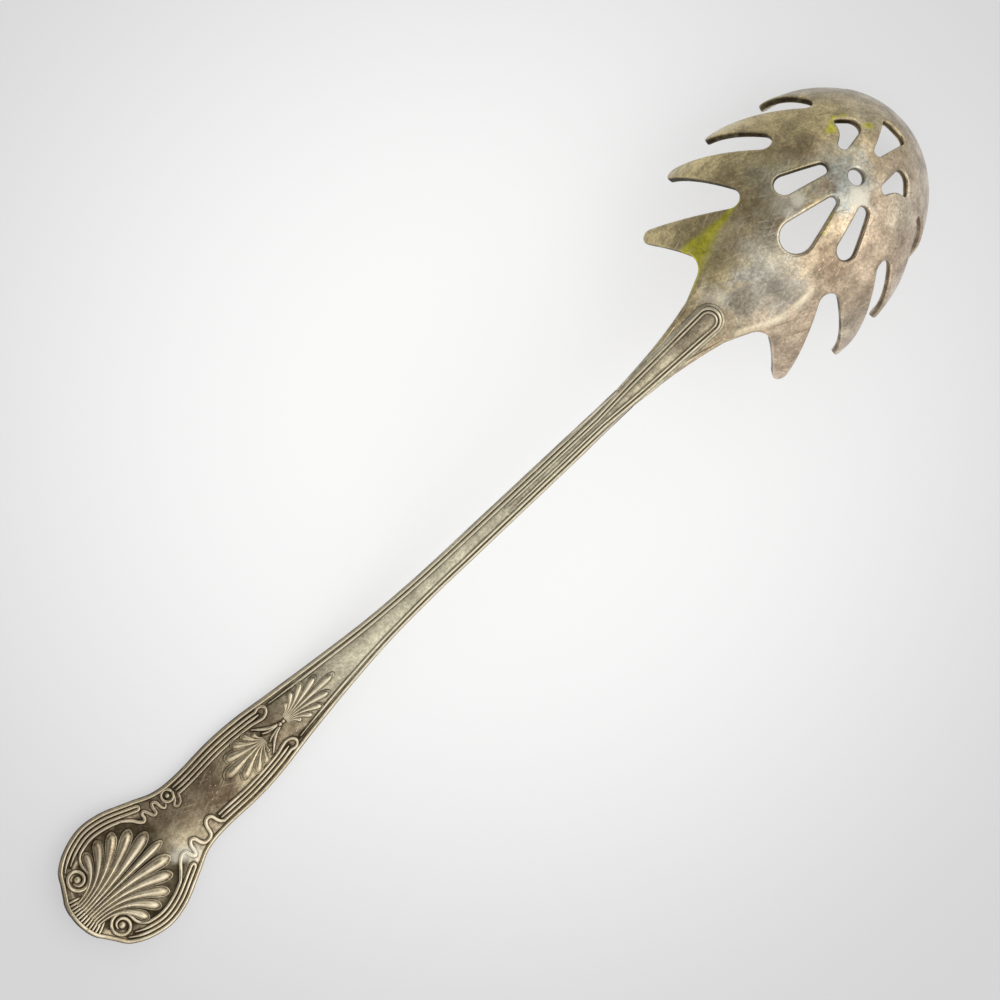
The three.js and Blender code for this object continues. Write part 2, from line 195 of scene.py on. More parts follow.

# Tarnish, painted light and painted shade of the bowl, at places of its blank in millimetres from the dome's
# pole: X, Y, reach and strength
# Pale patches are partly pale plate and partly painted light, lightening -Y of the dome, the side towards the
# light
PALE_AND_LIT_PATCHES = [
    (13.0, -13.0, 10.0, 0.6), (28.0, -14.0, 13.0, 0.4), (24.0, 8.0, 9.0, 0.25), (-9.5, 5.0, 5.0, 0.9),
    (-35.0, 2.5, 5.0, 0.6), (-21.0, 2.0, 10.0, 0.85), (-17.0, -27.0, 9.0, 0.5),
]
STEEL_PATCHES = [
    (3.5, 2.0, 12.0, 0.9), (-24.0, -5.0, 10.0, 0.6), (-8.0, 13.0, 9.0, 0.4), (-31.0, -2.5, 8.0, 0.6),
]
# Smudges are partly tarnish and partly painted shade: the far end of the dome and the root of the first -Y prong
# are darkened in colour
SMUDGE_AND_SHADE_PATCHES = [
    (-0.6, 3.4, 3.6, 0.85), (3.5, 13.2, 8.0, 0.7), (-30.5, -2.6, 6.0, 0.6), (-24.2, -5.5, 5.0, 0.35),
    (-15.0, 15.0, 7.0, 0.4), (-11.5, -10.5, 8.0, 0.8), (38.0, 4.0, 15.0, 0.5), (30.0, 20.0, 12.0, 0.5),
]
# Film is partly a dull pale smear and partly a painted highlight, as the glint beside the centre hole
FILM_AND_GLINT_PATCHES = [
    (3.2, -3.4, 3.4, 0.8), (-7.6, 5.6, 2.6, 0.75), (-10.8, 5.0, 2.4, 0.6), (-11.0, 7.0, 7.0, 0.35),
    (-35.0, 2.5, 3.5, 0.25),
]
# Band of Y in millimetres over which painted shade on the cut walls grows towards +Y
WALL_SHADE_SIDE = (0.0, 10.0)

# Yellow stain of the bowl, partly a painted yellow-green reflection along the +Y crease and round the holes:
# runs of X, Y and half width over its blank, and how far past that width it fades
STAIN_AND_REFLECTION_RUNS = [
    [(-16.2, 14.9, 0.5), (-19.0, 14.7, 0.7), (-22.0, 14.4, 1.1), (-25.5, 14.3, 1.9), (-29.0, 13.6, 2.9),
     (-32.5, 12.1, 3.0), (-36.0, 9.7, 1.7), (-40.0, 7.9, 1.0), (-46.0, 6.3, 0.7)],
    [(10.8, 11.6, 0.9), (11.8, 11.2, 1.2), (13.6, 12.7, 0.6), (16.0, 12.8, 0.5), (18.2, 11.2, 0.6)],
    [(-29.5, 15.6, 1.4), (-32.8, 15.8, 1.5)],
    [(18.8, 6.4, 0.7), (19.8, 5.7, 1.2), (21.0, 5.3, 0.7)],
    [(-9.0, -3.6, 0.3), (-4.0, -1.8, 0.3)],
]
STAIN_AND_REFLECTION_FADE = 1.6
STAIN_AND_REFLECTION_STRENGTH = 1.6

# Tarnish and painted highlight of the handle's panel, at places of its plan in millimetres from the shell end:
# X,
# Y, reach and strength; the bright patches and the film paint one highlight beside the -Y lobe
PANEL_BLOOM = [(28.0, 3.0, 5.0, 0.85), (34.0, 1.5, 5.5, 0.7), (43.0, 0.0, 7.0, 0.6)]
PANEL_PAINTED_HIGHLIGHT = [(26.6, -4.2, 3.6, 0.85), (29.2, -6.2, 3.4, 0.8)]
PANEL_HIGHLIGHT_FILM = [(25.6, -4.8, 2.4, 0.6), (27.6, -6.0, 2.6, 0.8), (29.6, -6.9, 2.4, 0.7)]

# Depth of the plate's bump in metres, the share of metal that film and painted highlight take away, and each
# finish's strength of bump and of scratches
BUMP_DISTANCE = 0.0004
FILM_AND_GLINT_DULLS = 0.8
PLATE_WEAR = {"handle_plate": (0.2, 0.5), "bowl_plate": (0.25, 0.7), "solder": (0.2, 0.3)}

# Floor, in metres: half its width, its drop under the server, the palest point and the reach of a painted pool
# of light round the server, and the share of its own colour that shows
FLOOR_HALF = 3.0
FLOOR_DROP = 0.0002
FLOOR_LIGHT_POOL_CENTRE = (0.015, 0.015, 0.0)
FLOOR_LIGHT_POOL = (0.03, 0.17)
FLOOR_PLAIN = 0.62

# Studio light: ways from the server to the bright window, to the dark spot over the camera and to the shaded
# side, and the key lamp's place, aim and size in metres
WINDOW_WAY = (0.20, -0.49, 0.85)
DARK_WAY = (0.05, 0.22, 0.974)
SHADED_WAY = (-0.4, 0.92, 0.0)
SKY_COLOUR = (1.0, 0.995, 0.985, 1.0)
KEY_PLACE = (0.55, -0.5, 0.8)
KEY_AIM = (0.0, 0.0, 0.015)
KEY_SIZE = 0.8

# Studio camera: its target and distance in millimetres, how it is turned against the server in degrees, and the
# scale and size of the picture in pixels
CAMERA_TARGET = (122.5, 0.0, 15.0)
CAMERA_DISTANCE = 800.0
CAMERA_TILT = 4.8
CAMERA_ROLL = 5.2
CAMERA_TURN = -0.6
PICTURE_TURN = 43.5
PICTURE_SCALE = 4.589
PICTURE_SIZE = 1000
TARGET_PIXEL = (481.7, 532.9)
SENSOR = 36.0


# Settings that a user would change

Length = partial(FloatProperty, unit="LENGTH", precision=4)
Angle = partial(FloatProperty, subtype="ANGLE")
Colour = partial(FloatVectorProperty, subtype="COLOR", min=0, max=1)


class BowlSettings(bpy.types.PropertyGroup):
    """Sizes of the pressed bowl"""
    sheet: Length(name="Sheet", description="Thickness of the bowl's sheet", default=1.6 * MM)
    back_round: Length(name="Back edge", description="Rounding of the worn edges on the back", default=0.62 * MM)
    front_round: Length(name="Front edge", description="Rounding of the edges inside the bowl", default=0.4 * MM)
    end_radius: Length(name="End radius", description="Press radius towards the far end", default=36 * MM)
    shoulder_radius: Length(name="Shoulder radius", description="Press radius between end and side",
                            default=27.5 * MM)
    side_radius: Length(name="Side radius", description="Press radius across the bowl", default=27 * MM)
    neck_radius: Length(name="Neck radius", description="Press radius towards the neck", default=44 * MM)
    tilt: Angle(name="Tilt", description="Tilt of the bowl against the floor", default=math.radians(11.5))
    neck_slope: Angle(name="Neck slope", description="Slope of the neck against the bowl",
                      default=math.radians(25.5))


class HandleSettings(bpy.types.PropertyGroup):
    """Sizes of the struck handle's ornament"""
    ground: Length(name="Ground", description="How far the plain ground lies under the threads",
                   default=0.25 * MM)
    shell_recess: Length(name="Shell recess", description="Extra depth of the ground round the shell",
                         default=0.3 * MM)
    thread_relief: Length(name="Thread relief", description="Height of the threads over the ground",
                          default=0.42 * MM)
    flutes: IntProperty(name="Flutes", description="Flutes in the shell", default=11, min=3)
    flute_spacing: Angle(name="Flute spacing", description="Angle between two flutes", default=math.radians(9.7))
    flute_length: Length(name="Flute length", description="Length of the middle flute", default=23.2 * MM)
    flute_relief: Length(name="Flute relief", description="Height of a flute's tip over the ground",
                         default=0.95 * MM)


class FinishSettings(bpy.types.PropertyGroup):
    """Colours of the worn plate"""
    plate: Colour(name="Plate", description="Slightly warm silver plate of the handle",
                  default=(0.50, 0.42, 0.28))
    silver: Colour(name="Silver", description="Cleaner, cooler plate along the stem",
                   default=(0.755, 0.735, 0.575))
    bloom: Colour(name="Bloom", description="Brown bloom of tarnish", default=(0.17, 0.12, 0.075))
    olive: Colour(name="Olive", description="Olive tarnish on one side of the bowl", default=(0.53, 0.44, 0.23))
    blush: Colour(name="Blush", description="Pinkish beige plate on the other side of the bowl",
                  default=(0.62, 0.49, 0.355))
    steel: Colour(name="Steel", description="Blue-grey metal rubbed bare, as round the centre hole",
                  default=(0.38, 0.42, 0.40))
    # The pale patches also paint light on -Y of the dome, the side towards the light
    pale_and_lit: Colour(name="Pale", description="Pale plate in patches of the bowl", default=(0.80, 0.73, 0.57))
    # The stain is partly a painted yellow-green reflection along the +Y crease and round the holes
    stain_and_reflection: Colour(name="Stain", description="Yellow stain at the root of a prong and round a hole",
                  default=(0.64, 0.60, 0.05))
    # Also the colour of painted highlights: the glint by the bowl's centre hole and the bright spot on the
    # handle's panel
    film_and_glint: Colour(name="Film", description="Dull pale film left in smears", default=(0.76, 0.71, 0.58))
    recess: Colour(name="Recess", description="Dark tarnish left in the carving", default=(0.035, 0.024, 0.011))
    worn: Colour(name="Worn", description="Bright metal on worn edges", default=(0.88, 0.78, 0.57))


class StageSettings(bpy.types.PropertyGroup):
    """Floor and light"""
    # The floor's fade from this colour to the far one is a painted pool of light
    floor: Colour(name="Floor", description="Colour of the floor under the server", default=(0.99, 0.99, 0.99))
    floor_far: Colour(name="Floor far off", description="Colour of the floor towards the picture's corners",
                      default=(0.69, 0.69, 0.70))
    key_power: FloatProperty(name="Key", description="Power of the key light", default=0.7, unit="POWER")
    sky: FloatProperty(name="Sky", description="Strength of the studio's soft surround", default=1.04)


# Small maths shared by the pieces

def ease(value, low, high):
    share = np.clip((np.asarray(value, float) - low) / (high - low), 0.0, 1.0)
    return share * share * (3.0 - 2.0 * share)


def mix(a, b, share):
    return a + (b - a) * share


def spline(points, per_span):
    """Smooth run through points, as rows, with the ends included."""
    p = np.asarray(points, float)
    padded = np.vstack([p[:1], p, p[-1:]])
    rows = []
    for i in range(len(p) - 1):
        p0, p1, p2, p3 = padded[i:i + 4]
        v0, v1 = (p2 - p0) * 0.5, (p3 - p1) * 0.5
        cubic = 2 * p1 - 2 * p2 + v0 + v1
        square = -3 * p1 + 3 * p2 - 2 * v0 - v1
        for t in np.linspace(0.0, 1.0, per_span, endpoint=False):
            rows.append(cubic * t ** 3 + square * t ** 2 + v0 * t + p1)
    rows.append(p[-1])
    return np.array(rows)


def resampled(path, step):
    """Same run with points about one step apart."""
    path = np.asarray(path, float)
    run = np.concatenate([[0.0], np.cumsum(np.linalg.norm(np.diff(path, axis=0), axis=1))])
    count = max(2, int(round(run[-1] / step)) + 1)
    at = np.linspace(0.0, run[-1], count)
    return np.stack([np.interp(at, run, path[:, k]) for k in range(path.shape[1])], axis=1)


def beside(path, distance):
    """Same run moved to its right by a distance, or by one for each of its points."""
    along = np.gradient(path, axis=0)
    along /= np.linalg.norm(along, axis=1)[:, None]
    return path + np.stack([along[:, 1], -along[:, 0]], axis=1) * np.reshape(distance, (-1, 1))


def circle(x, y, radius, turns):
    return np.stack([x + radius * np.cos(turns), y + radius * np.sin(turns)], axis=1)


# Pieces, with their place in their mesh

def new_piece(name, vertices, faces, material, body="root"):
    """Smooth mesh object at the origin, riding on a body of the frame."""
    mesh = bpy.data.meshes.new(name)
    mesh.from_pydata(np.asarray(vertices, float).tolist(), [], [list(face) for face in faces])
    return dress(mesh, name, material, body)


def dress(mesh, name, material, body="root"):
    mesh.materials.clear()
    mesh.materials.append(material)
    mesh.polygons.foreach_set("use_smooth", np.ones(len(mesh.polygons), bool))
    mesh.validate()
    mesh.update()
    piece = bpy.data.objects.new(name, mesh)
    bpy.context.scene.collection.objects.link(piece)
    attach(piece, body)
    return piece


def store(mesh, name, values):
    attribute = mesh.attributes.new(name, "FLOAT", "POINT")
    each = np.broadcast_to(np.asarray(values, np.float32), len(mesh.vertices))
    attribute.data.foreach_set("value", np.ascontiguousarray(each))


def store_wear_and_painted_light(piece, hollow, edge, bloom):
    """Shares that the worn plate reads: tarnish in the hollows, bright edges and brown bloom, which also carry
    painted shade and painted highlights.
    """
    for name, values in (("hollow", hollow), ("edge", edge), ("bloom", bloom)):
        store(piece.data, name, values)


def mesh_arrays(mesh):
    vertices = np.empty(len(mesh.vertices) * 3, np.float32)
    mesh.vertices.foreach_get("co", vertices)
    return vertices.reshape(-1, 3).astype(float), [list(polygon.vertices) for polygon in mesh.polygons]


# Node trees, built in short calls

class Builder:
    """Adds linked nodes to one node tree."""

    def __init__(self, tree):
        self.tree = tree

    def feed(self, socket, value):
        if isinstance(value, bpy.types.Node):
            value = value.outputs[0]
        if isinstance(value, bpy.types.NodeSocket):
            self.tree.links.new(value, socket)
        else:
            socket.default_value = value

    def add(self, kind, inputs=(), **settings):
        node = self.tree.nodes.new(kind)
        for key, value in settings.items():
            setattr(node, key, value)
        pairs = inputs.items() if isinstance(inputs, dict) else enumerate(inputs)
        for key, value in pairs:
            if value is not None:
                self.feed(node.inputs[key], value)
        return node

    def math(self, operation, a, b=None, c=None, clamp=False):
        return self.add("ShaderNodeMath", (a, b, c), operation=operation, use_clamp=clamp).outputs[0]

    def plus(self, a, b):
        return self.math("ADD", a, b)

    def minus(self, a, b, clamp=False):
        return self.math("SUBTRACT", a, b, clamp=clamp)

    def times(self, a, b, clamp=False):
        return self.math("MULTIPLY", a, b, clamp=clamp)

    def over(self, a, b, clamp=False):
        return self.math("DIVIDE", a, b, clamp=clamp)

    def measure(self, operation, a, b):
        return self.add("ShaderNodeVectorMath", (a, b), operation=operation).outputs["Value"]

    def attribute(self, name):
        return self.add("ShaderNodeAttribute", attribute_name=name).outputs["Fac"]

    def remap(self, value, low, high, to_low=0.0, to_high=1.0):
        inputs = (value, low, high, to_low, to_high)
        return self.add("ShaderNodeMapRange", inputs, interpolation_type="SMOOTHSTEP").outputs[0]

    def blend(self, share, a, b, kind="MIX"):
        node = self.add("ShaderNodeMix", data_type="RGBA", blend_type=kind)
        for key, value in (("Factor", share), ("A", a), ("B", b)):
            socket = next(s for s in node.inputs if s.name == key and s.enabled)
            self.feed(socket, value)
        return next(s for s in node.outputs if s.enabled)

    def shaded(self, colour, share):
        """Colour made lighter or darker by a share."""
        grey = self.add("ShaderNodeCombineColor", (share, share, share))
        return self.blend(1.0, colour, grey, "MULTIPLY")


def fresh_builder(owner):
    """Builder on the cleared node tree of a material or a world."""
    owner.use_nodes = True
    owner.node_tree.nodes.clear()
    return Builder(owner.node_tree)


def group_once(name, make):
    """Node group of this name, made the first time that it is asked for."""
    return bpy.data.node_groups.get(name) or make(name)


def group_tree(name, kind, inputs, outputs):
    """New node group with named sockets, its builder, and its input and output nodes."""
    tree = bpy.data.node_groups.new(name, kind)
    for label, socket, default in inputs:
        made = tree.interface.new_socket(label, in_out="INPUT", socket_type=socket)
        if default is not None:
            made.default_value = default
    for label, socket in outputs:
        tree.interface.new_socket(label, in_out="OUTPUT", socket_type=socket)
    build = Builder(tree)
    return tree, build, build.add("NodeGroupInput"), build.add("NodeGroupOutput")


def run_tree(tree, mesh, values):
    """Plain mesh that a geometry tree makes from a mesh and its input values."""
    carrier = bpy.data.objects.new("carrier", mesh)
    bpy.context.scene.collection.objects.link(carrier)
    modifier = carrier.modifiers.new("Nodes", "NODES")
    modifier.node_group = tree
    for item in tree.interface.items_tree:
        if item.in_out == "INPUT" and item.name in values:
            modifier[item.identifier] = values[item.name]
    graph = bpy.context.evaluated_depsgraph_get()
    made = bpy.data.meshes.new_from_object(carrier.evaluated_get(graph))
    bpy.data.objects.remove(carrier)
    return made


def set_curve(node, points):
    """Gives a curve node these corner points."""
    curve = node.mapping.curves[0]
    while len(curve.points) > 2:
        curve.points.remove(curve.points[-1])
    for point, place in zip(curve.points, (points[0], points[-1])):
        point.location = place
    for place in points[1:-1]:
        curve.points.new(*place)
    node.mapping.update()


def store_node(build, geometry, name, value, domain):
    inputs = {"Geometry": geometry, "Name": name, "Value": value}
    return build.add("GeometryNodeStoreNamedAttribute", inputs, data_type="FLOAT", domain=domain)


def set_tree_end(build, result, geometry, material):
    real = build.add("GeometryNodeRealizeInstances", (geometry,))
    finished = build.add("GeometryNodeSetMaterial", {"Geometry": real, "Material": material})
    build.feed(result.inputs["Geometry"], finished)


def fan_tree(name):
    """Geometry tree: rounded lobes side by side, fanned out from a hinge at the origin along +X."""
    tree, build, source, result = group_tree(name, "GeometryNodeTree", [
        ("Lobes", "NodeSocketInt", 11),
        ("Spacing", "NodeSocketFloat", 0.15),
        ("Turn", "NodeSocketFloat", 0.26),
        ("Length", "NodeSocketFloat", 23.0),
        ("Drop", "NodeSocketFloat", 0.6),
        ("Drop power", "NodeSocketFloat", 1.78),
        ("Root gap", "NodeSocketFloat", 0.6),
        ("Half width", "NodeSocketFloat", 1.3),
        ("Middle width", "NodeSocketFloat", 1.0),
        ("Narrowing", "NodeSocketFloat", 0.0),
        ("Relief", "NodeSocketFloat", 0.6),
        ("Material", "NodeSocketMaterial", None),
    ], [("Geometry", "NodeSocketGeometry")])
    value = source.outputs
    half_count = build.times(build.minus(value["Lobes"], 1.0), 0.5)
    number = build.minus(build.add("GeometryNodeInputIndex"), half_count)
    # A hair off zero, so that the middle lobe has a knee too
    number = build.plus(number, 0.001)
    points = build.add("GeometryNodePoints", (value["Lobes"],))
    ball = build.add("GeometryNodeMeshUVSphere", (24, 28, 1.0))
    laid = build.add("GeometryNodeTransform", {"Geometry": ball, "Rotation": (0.0, math.pi / 2, 0.0)})
    spread = build.add("GeometryNodeInstanceOnPoints", {"Points": points, "Instance": laid})
    marked = store_node(build, spread, "lobe", number, "INSTANCE")
    real = build.add("GeometryNodeRealizeInstances", (marked,))

    lobe = build.add("GeometryNodeInputNamedAttribute", ("lobe",), data_type="FLOAT").outputs[0]
    place = build.add("ShaderNodeSeparateXYZ", (build.add("GeometryNodeInputPosition"),)).outputs
    along = build.math("MULTIPLY_ADD", place[0], 0.5, 0.5)
    ring = build.math("SQRT", build.minus(1.0, build.times(place[0], place[0]), clamp=True))
    across = build.over(place[1], ring)
    up = build.over(place[2], ring)

    # Middle line of a lobe: it leaves the hinge along +X and bends to its end direction at the tip
    outward = build.math("ABSOLUTE", lobe)
    turn = build.times(lobe, value["Spacing"])
    shorter = build.times(build.math("POWER", outward, value["Drop power"]), value["Drop"])
    reach = build.minus(value["Length"], shorter)
    tip_x = build.times(reach, build.math("COSINE", turn))
    root_y = build.times(lobe, value["Root gap"])
    rise = build.minus(build.times(reach, build.math("SINE", turn)), root_y)
    end_slope = build.math("TANGENT", build.times(lobe, value["Turn"]))
    knee_x = build.minus(tip_x, build.over(rise, end_slope))
    rest = build.minus(1.0, along)
    knee_share = build.times(along, rest)
    knee_part = build.times(knee_share, build.times(knee_x, 2.0))
    square = build.times(along, along)
    centre_x = build.plus(knee_part, build.times(square, tip_x))
    centre_y = build.plus(root_y, build.times(square, rise))
    past_knee = build.times(along, build.minus(tip_x, knee_x))
    run_x = build.plus(build.times(rest, knee_x), past_knee)
    run_y = build.times(along, rise)
    span_square = build.plus(build.times(run_x, run_x), build.times(run_y, run_y))
    span = build.math("SQRT", span_square)

    # Width: a slim root that swells to a bulb with a round cap
    cap_start = 0.88
    cap = build.over(build.minus(along, cap_start), 1.0 - cap_start, clamp=True)
    cap_square = build.times(cap, cap)
    cap_round = build.math("SQRT", build.minus(1.0, cap_square, clamp=True))
    swell = build.add("ShaderNodeFloatCurve", {"Value": along})
    set_curve(swell, [(0.0, 0.22), (0.3, 0.33), (0.55, 0.55), (0.75, 0.86), (0.86, 1.0), (1.0, 1.0)])
    first = build.math("MINIMUM", outward, 1.0)
    wider = build.minus(1.0, value["Middle width"])
    middle = build.math("MULTIPLY_ADD", wider, first, value["Middle width"])
    narrowed = build.minus(middle, build.times(outward, value["Narrowing"]))
    widest = build.times(value["Half width"], narrowed)
    half = build.times(build.times(swell, cap_round), widest)
    side = build.times(across, half)
    x = build.minus(centre_x, build.times(side, build.over(run_y, span)))
    y = build.plus(centre_y, build.times(side, build.over(run_x, span)))

    # Height: a crowned middle inside a thin raised fillet that goes round the tip
    off_middle = build.times(across, cap_round)
    off_square = build.plus(build.times(off_middle, off_middle), cap_square)
    section = build.add("ShaderNodeFloatCurve", {"Value": build.math("SQRT", off_square)})
    set_curve(section, [(0.0, 1.0), (0.42, 0.92), (0.62, 0.62), (0.71, 0.36), (0.86, 0.80), (0.94, 0.62),
                        (1.0, 0.0)])
    lifted = build.times(build.math("POWER", swell, 0.45), value["Relief"])
    shows = build.math("GREATER_THAN", up, -0.0001)
    crown = build.times(shows, build.times(lifted, section))
    z = build.plus(crown, build.times(build.math("MINIMUM", up, 0.0), 0.3))
    shares = build.times(shows, section)
    told = store_node(build, real, "crown", shares, "POINT")
    laid_out = build.add("ShaderNodeCombineXYZ", (x, y, z))
    moved = build.add("GeometryNodeSetPosition", {"Geometry": told, "Position": laid_out})
    set_tree_end(build, result, moved, value["Material"])
    return tree


def thread_tree(name):
    """Geometry tree: a rounded thread along every run of edges, as wide as its half_width attribute says."""
    tree, build, source, result = group_tree(name, "GeometryNodeTree", [
        ("Geometry", "NodeSocketGeometry", None),
        ("Sides", "NodeSocketInt", THREAD_SIDES),
        ("Flatness", "NodeSocketFloat", 0.8),
        ("Material", "NodeSocketMaterial", None),
    ], [("Geometry", "NodeSocketGeometry")])
    value = source.outputs
    path = build.add("GeometryNodeMeshToCurve", (value["Geometry"],))
    half = build.add("GeometryNodeInputNamedAttribute", ("half_width",), data_type="FLOAT")
    upright = build.add("GeometryNodeSetCurveNormal", (path,), mode="Z_UP")
    profile = build.add("GeometryNodeCurvePrimitiveCircle", {"Resolution": value["Sides"], "Radius": 1.0})
    swept = build.add("GeometryNodeCurveToMesh", {
        "Curve": upright, "Profile Curve": profile, "Scale": half, "Fill Caps": True})
    position = build.add("GeometryNodeInputPosition")
    crown = build.over(build.add("ShaderNodeSeparateXYZ", (position,)).outputs["Z"], half)
    told = store_node(build, swept, "crown", crown, "POINT")
    flat = build.add("ShaderNodeCombineXYZ", (1.0, 1.0, value["Flatness"]))
    place = build.add("ShaderNodeVectorMath", (position, flat), operation="MULTIPLY")
    pressed_flat = build.add("GeometryNodeSetPosition", {"Geometry": told, "Position": place})
    set_tree_end(build, result, pressed_flat, value["Material"])
    return tree


def thread_mesh(runs, flatness, material, sides=THREAD_SIDES):
    """Mesh of threads along runs of points, each with half-widths."""
    tree = group_once("Thread along a path", thread_tree)
    return run_tree(tree, path_mesh(runs), {"Sides": sides, "Flatness": flatness, "Material": material})


def path_mesh(paths):
    """Edge mesh of runs of points, each with half-widths, for the thread tree."""
    points, edges, halves = [], [], []
    for path, half in paths:
        start = len(points)
        points += [tuple(p) if len(p) == 3 else (p[0], p[1], 0.0) for p in path]
        halves += list(np.broadcast_to(half, len(path)))
        edges += [(start + k, start + k + 1) for k in range(len(path) - 1)]
    mesh = bpy.data.meshes.new("paths")
    mesh.from_pydata(points, edges, [])
    store(mesh, "half_width", halves)
    return mesh


# Bowl: its blank, and the press that domes it

def belt(circles, closed):
    """Outline round a row of circles; a negative radius bends inwards and zero is a corner."""
    count = len(circles)
    spans = count if closed else count - 1
    normals = []
    for i in range(spans):
        x1, y1, r1 = circles[i]
        x2, y2, r2 = circles[(i + 1) % count]
        base = math.atan2(y2 - y1, x2 - x1)
        normals.append(base - math.acos((r1 - r2) / math.hypot(x2 - x1, y2 - y1)))
    points = []
    for i, (x, y, r) in enumerate(circles):
        start = normals[(i - 1) % spans if closed else max(i - 1, 0)]
        end = normals[min(i, spans - 1)]
        sweep = math.fmod(end - start, 2 * math.pi)
        if r > 0 and sweep < -1e-9:
            sweep += 2 * math.pi
        if r < 0 and sweep > 1e-9:
            sweep -= 2 * math.pi
        steps = 0 if r == 0 else max(1, math.ceil(abs(sweep) / math.radians(7)))
        for k in range(steps + 1):
            turn = start + sweep * k / max(steps, 1)
            points.append((x + r * math.cos(turn), y + r * math.sin(turn)))
    return np.array(points)


def neck_edge():
    """Outline of the neck's +Y side, from the joint to the bowl."""
    along, wide = np.array(NECK_EDGE).T
    reach, half = mix(TANG_END, NECK_FLARE, along), mix(STEM_HALF, NECK_WIDTH / 2, wide)
    return spline(np.stack([-reach, half], axis=1), 6)


def bowl_contours(step):
    """Closed outlines of the blank, with the metal on the left: the rim, then the drain holes."""
    side = [(-NECK_FLARE, NECK_WIDTH / 2, 0.0), NOTCH]
    for i, tip in enumerate(PRONG_TIPS):
        side.append((*tip, PRONG_TIP_RADIUS))
        if i < len(GAP_ROOTS):
            side.append((*GAP_ROOTS[i], -GAP_RADIUS))
    lower = [(x, -y, r) for x, y, r in side]
    rim = belt(lower + [(*FAR_GAP, -GAP_RADIUS)] + side[::-1], False)
    edge = neck_edge()[:-1]
    rim = resampled(np.vstack([edge * (1, -1), rim, edge[::-1]]), step)
    end = resampled([rim[-1], rim[0]], step)
    turns = np.linspace(0, 2 * math.pi, 40, endpoint=False)
    holes = [circle(*CENTRE_HOLE, turns), belt(NECK_DROP_HOLE, True), belt(END_FAN_HOLE, True)]
    for circles in (SIDE_SLOT, KIDNEY_HOLE):
        hole = belt(circles, True)
        holes += [hole, (hole * (1, -1))[::-1]]
    contours = [np.vstack([rim, end[1:-1]])]
    for hole in holes:
        contours.append(resampled(np.vstack([hole, hole[:1]])[::-1], step)[:-1])
    return contours


def inset_loop(loop, distance):
    along = np.roll(loop, -1, axis=0) - np.roll(loop, 1, axis=0)
    along /= np.linalg.norm(along, axis=1)[:, None]
    return loop + np.stack([-along[:, 1], along[:, 0]], axis=1) * distance


def inside_metal(points, contours):
    """Even and odd crossings of every contour, for points of the blank."""
    inside = np.zeros(len(points), bool)
    for loop in contours:
        a, b = loop, np.roll(loop, -1, axis=0)
        for (x1, y1), (x2, y2) in zip(a, b):
            crosses = (y1 > points[:, 1]) != (y2 > points[:, 1])
            if crosses.any():
                at = x1 + (points[:, 1] - y1) / (y2 - y1 if y2 != y1 else 1e-12) * (x2 - x1)
                inside ^= crosses & (points[:, 0] < at)
    return inside


def blank_grid(contours, clearance):
    """Points in staggered rows over the metal, clear of its edges."""
    low, high = contours[0].min(0), contours[0].max(0)
    rows = np.arange(low[1], high[1], GRID_STEP * GRID_ROW)
    columns = np.arange(low[0], high[0], GRID_STEP)
    grid = np.array([(x + (i % 2) * GRID_STEP / 2, y) for i, y in enumerate(rows) for x in columns])
    rim = np.vstack(contours)
    clear = np.full(len(grid), np.inf)
    for start in range(0, len(rim), 200):
        gaps = np.linalg.norm(grid[:, None] - rim[None, start:start + 200], axis=2).min(1)
        clear = np.minimum(clear, gaps)
    return grid[inside_metal(grid, contours) & (clear > clearance)]


def blank_sheet(contours, rounding):
    """Flat sheet between the contours: its points, how far each lies inside the edge, and its triangles."""
    points, edges, insets = [], [], []
    for loop in contours:
        for share in EDGE_RINGS:
            ring = inset_loop(loop, share * rounding) if share else loop
            start = len(points)
            points += ring.tolist()
            insets += [share * rounding] * len(ring)
            edges += [(start + k, start + (k + 1) % len(ring)) for k in range(len(ring))]
    grid = blank_grid(contours, rounding + GRID_CLEARANCE)
    points += grid.tolist()
    insets += [rounding] * len(grid)
    flat = delaunay_2d_cdt([Vector(p) for p in points], edges, [], 0, 1e-6)
    blank = np.array([tuple(v) for v in flat[0]])
    source = [origin[0] if origin else -1 for origin in flat[3]]
    insets = np.array([insets[k] if k >= 0 else rounding for k in source])
    triangles = np.array([face for face in flat[2] if len(face) == 3])
    return blank, insets, triangles[inside_metal(blank[triangles].mean(1), contours)]


def sheet_faces(triangles, count):
    """Faces of a sheet from the triangles of its back: the back, the front, and a wall along every open edge."""
    uses = {}
    for triangle in triangles.tolist():
        for edge in zip(triangle, triangle[1:] + triangle[:1]):
            uses.setdefault(tuple(sorted(edge)), []).append(edge)
    open_edges = [edges[0] for edges in uses.values() if len(edges) == 1]
    walls = [(b, a, a + count, b + count) for a, b in open_edges]
    return triangles.tolist() + (triangles[:, ::-1] + count).tolist() + walls


def edge_drop(insets, rounding):
    """Fall of a face towards a rounded edge."""
    return rounding - np.sqrt(np.maximum(rounding * rounding - np.maximum(rounding - insets, 0) ** 2, 0))


def stain_and_reflection_at(x, y):
    """Share of yellow stain and painted yellow-green reflection at points of the blank."""
    stain_and_reflection = np.zeros(len(x))
    for run in STAIN_AND_REFLECTION_RUNS:
        for run_x, run_y, half in spline(run, 6):
            stain_and_reflection = np.maximum(stain_and_reflection, 1 - np.hypot(x - run_x, y - run_y) / (STAIN_AND_REFLECTION_FADE * half))
    return np.clip(stain_and_reflection, 0, 1) * STAIN_AND_REFLECTION_STRENGTH


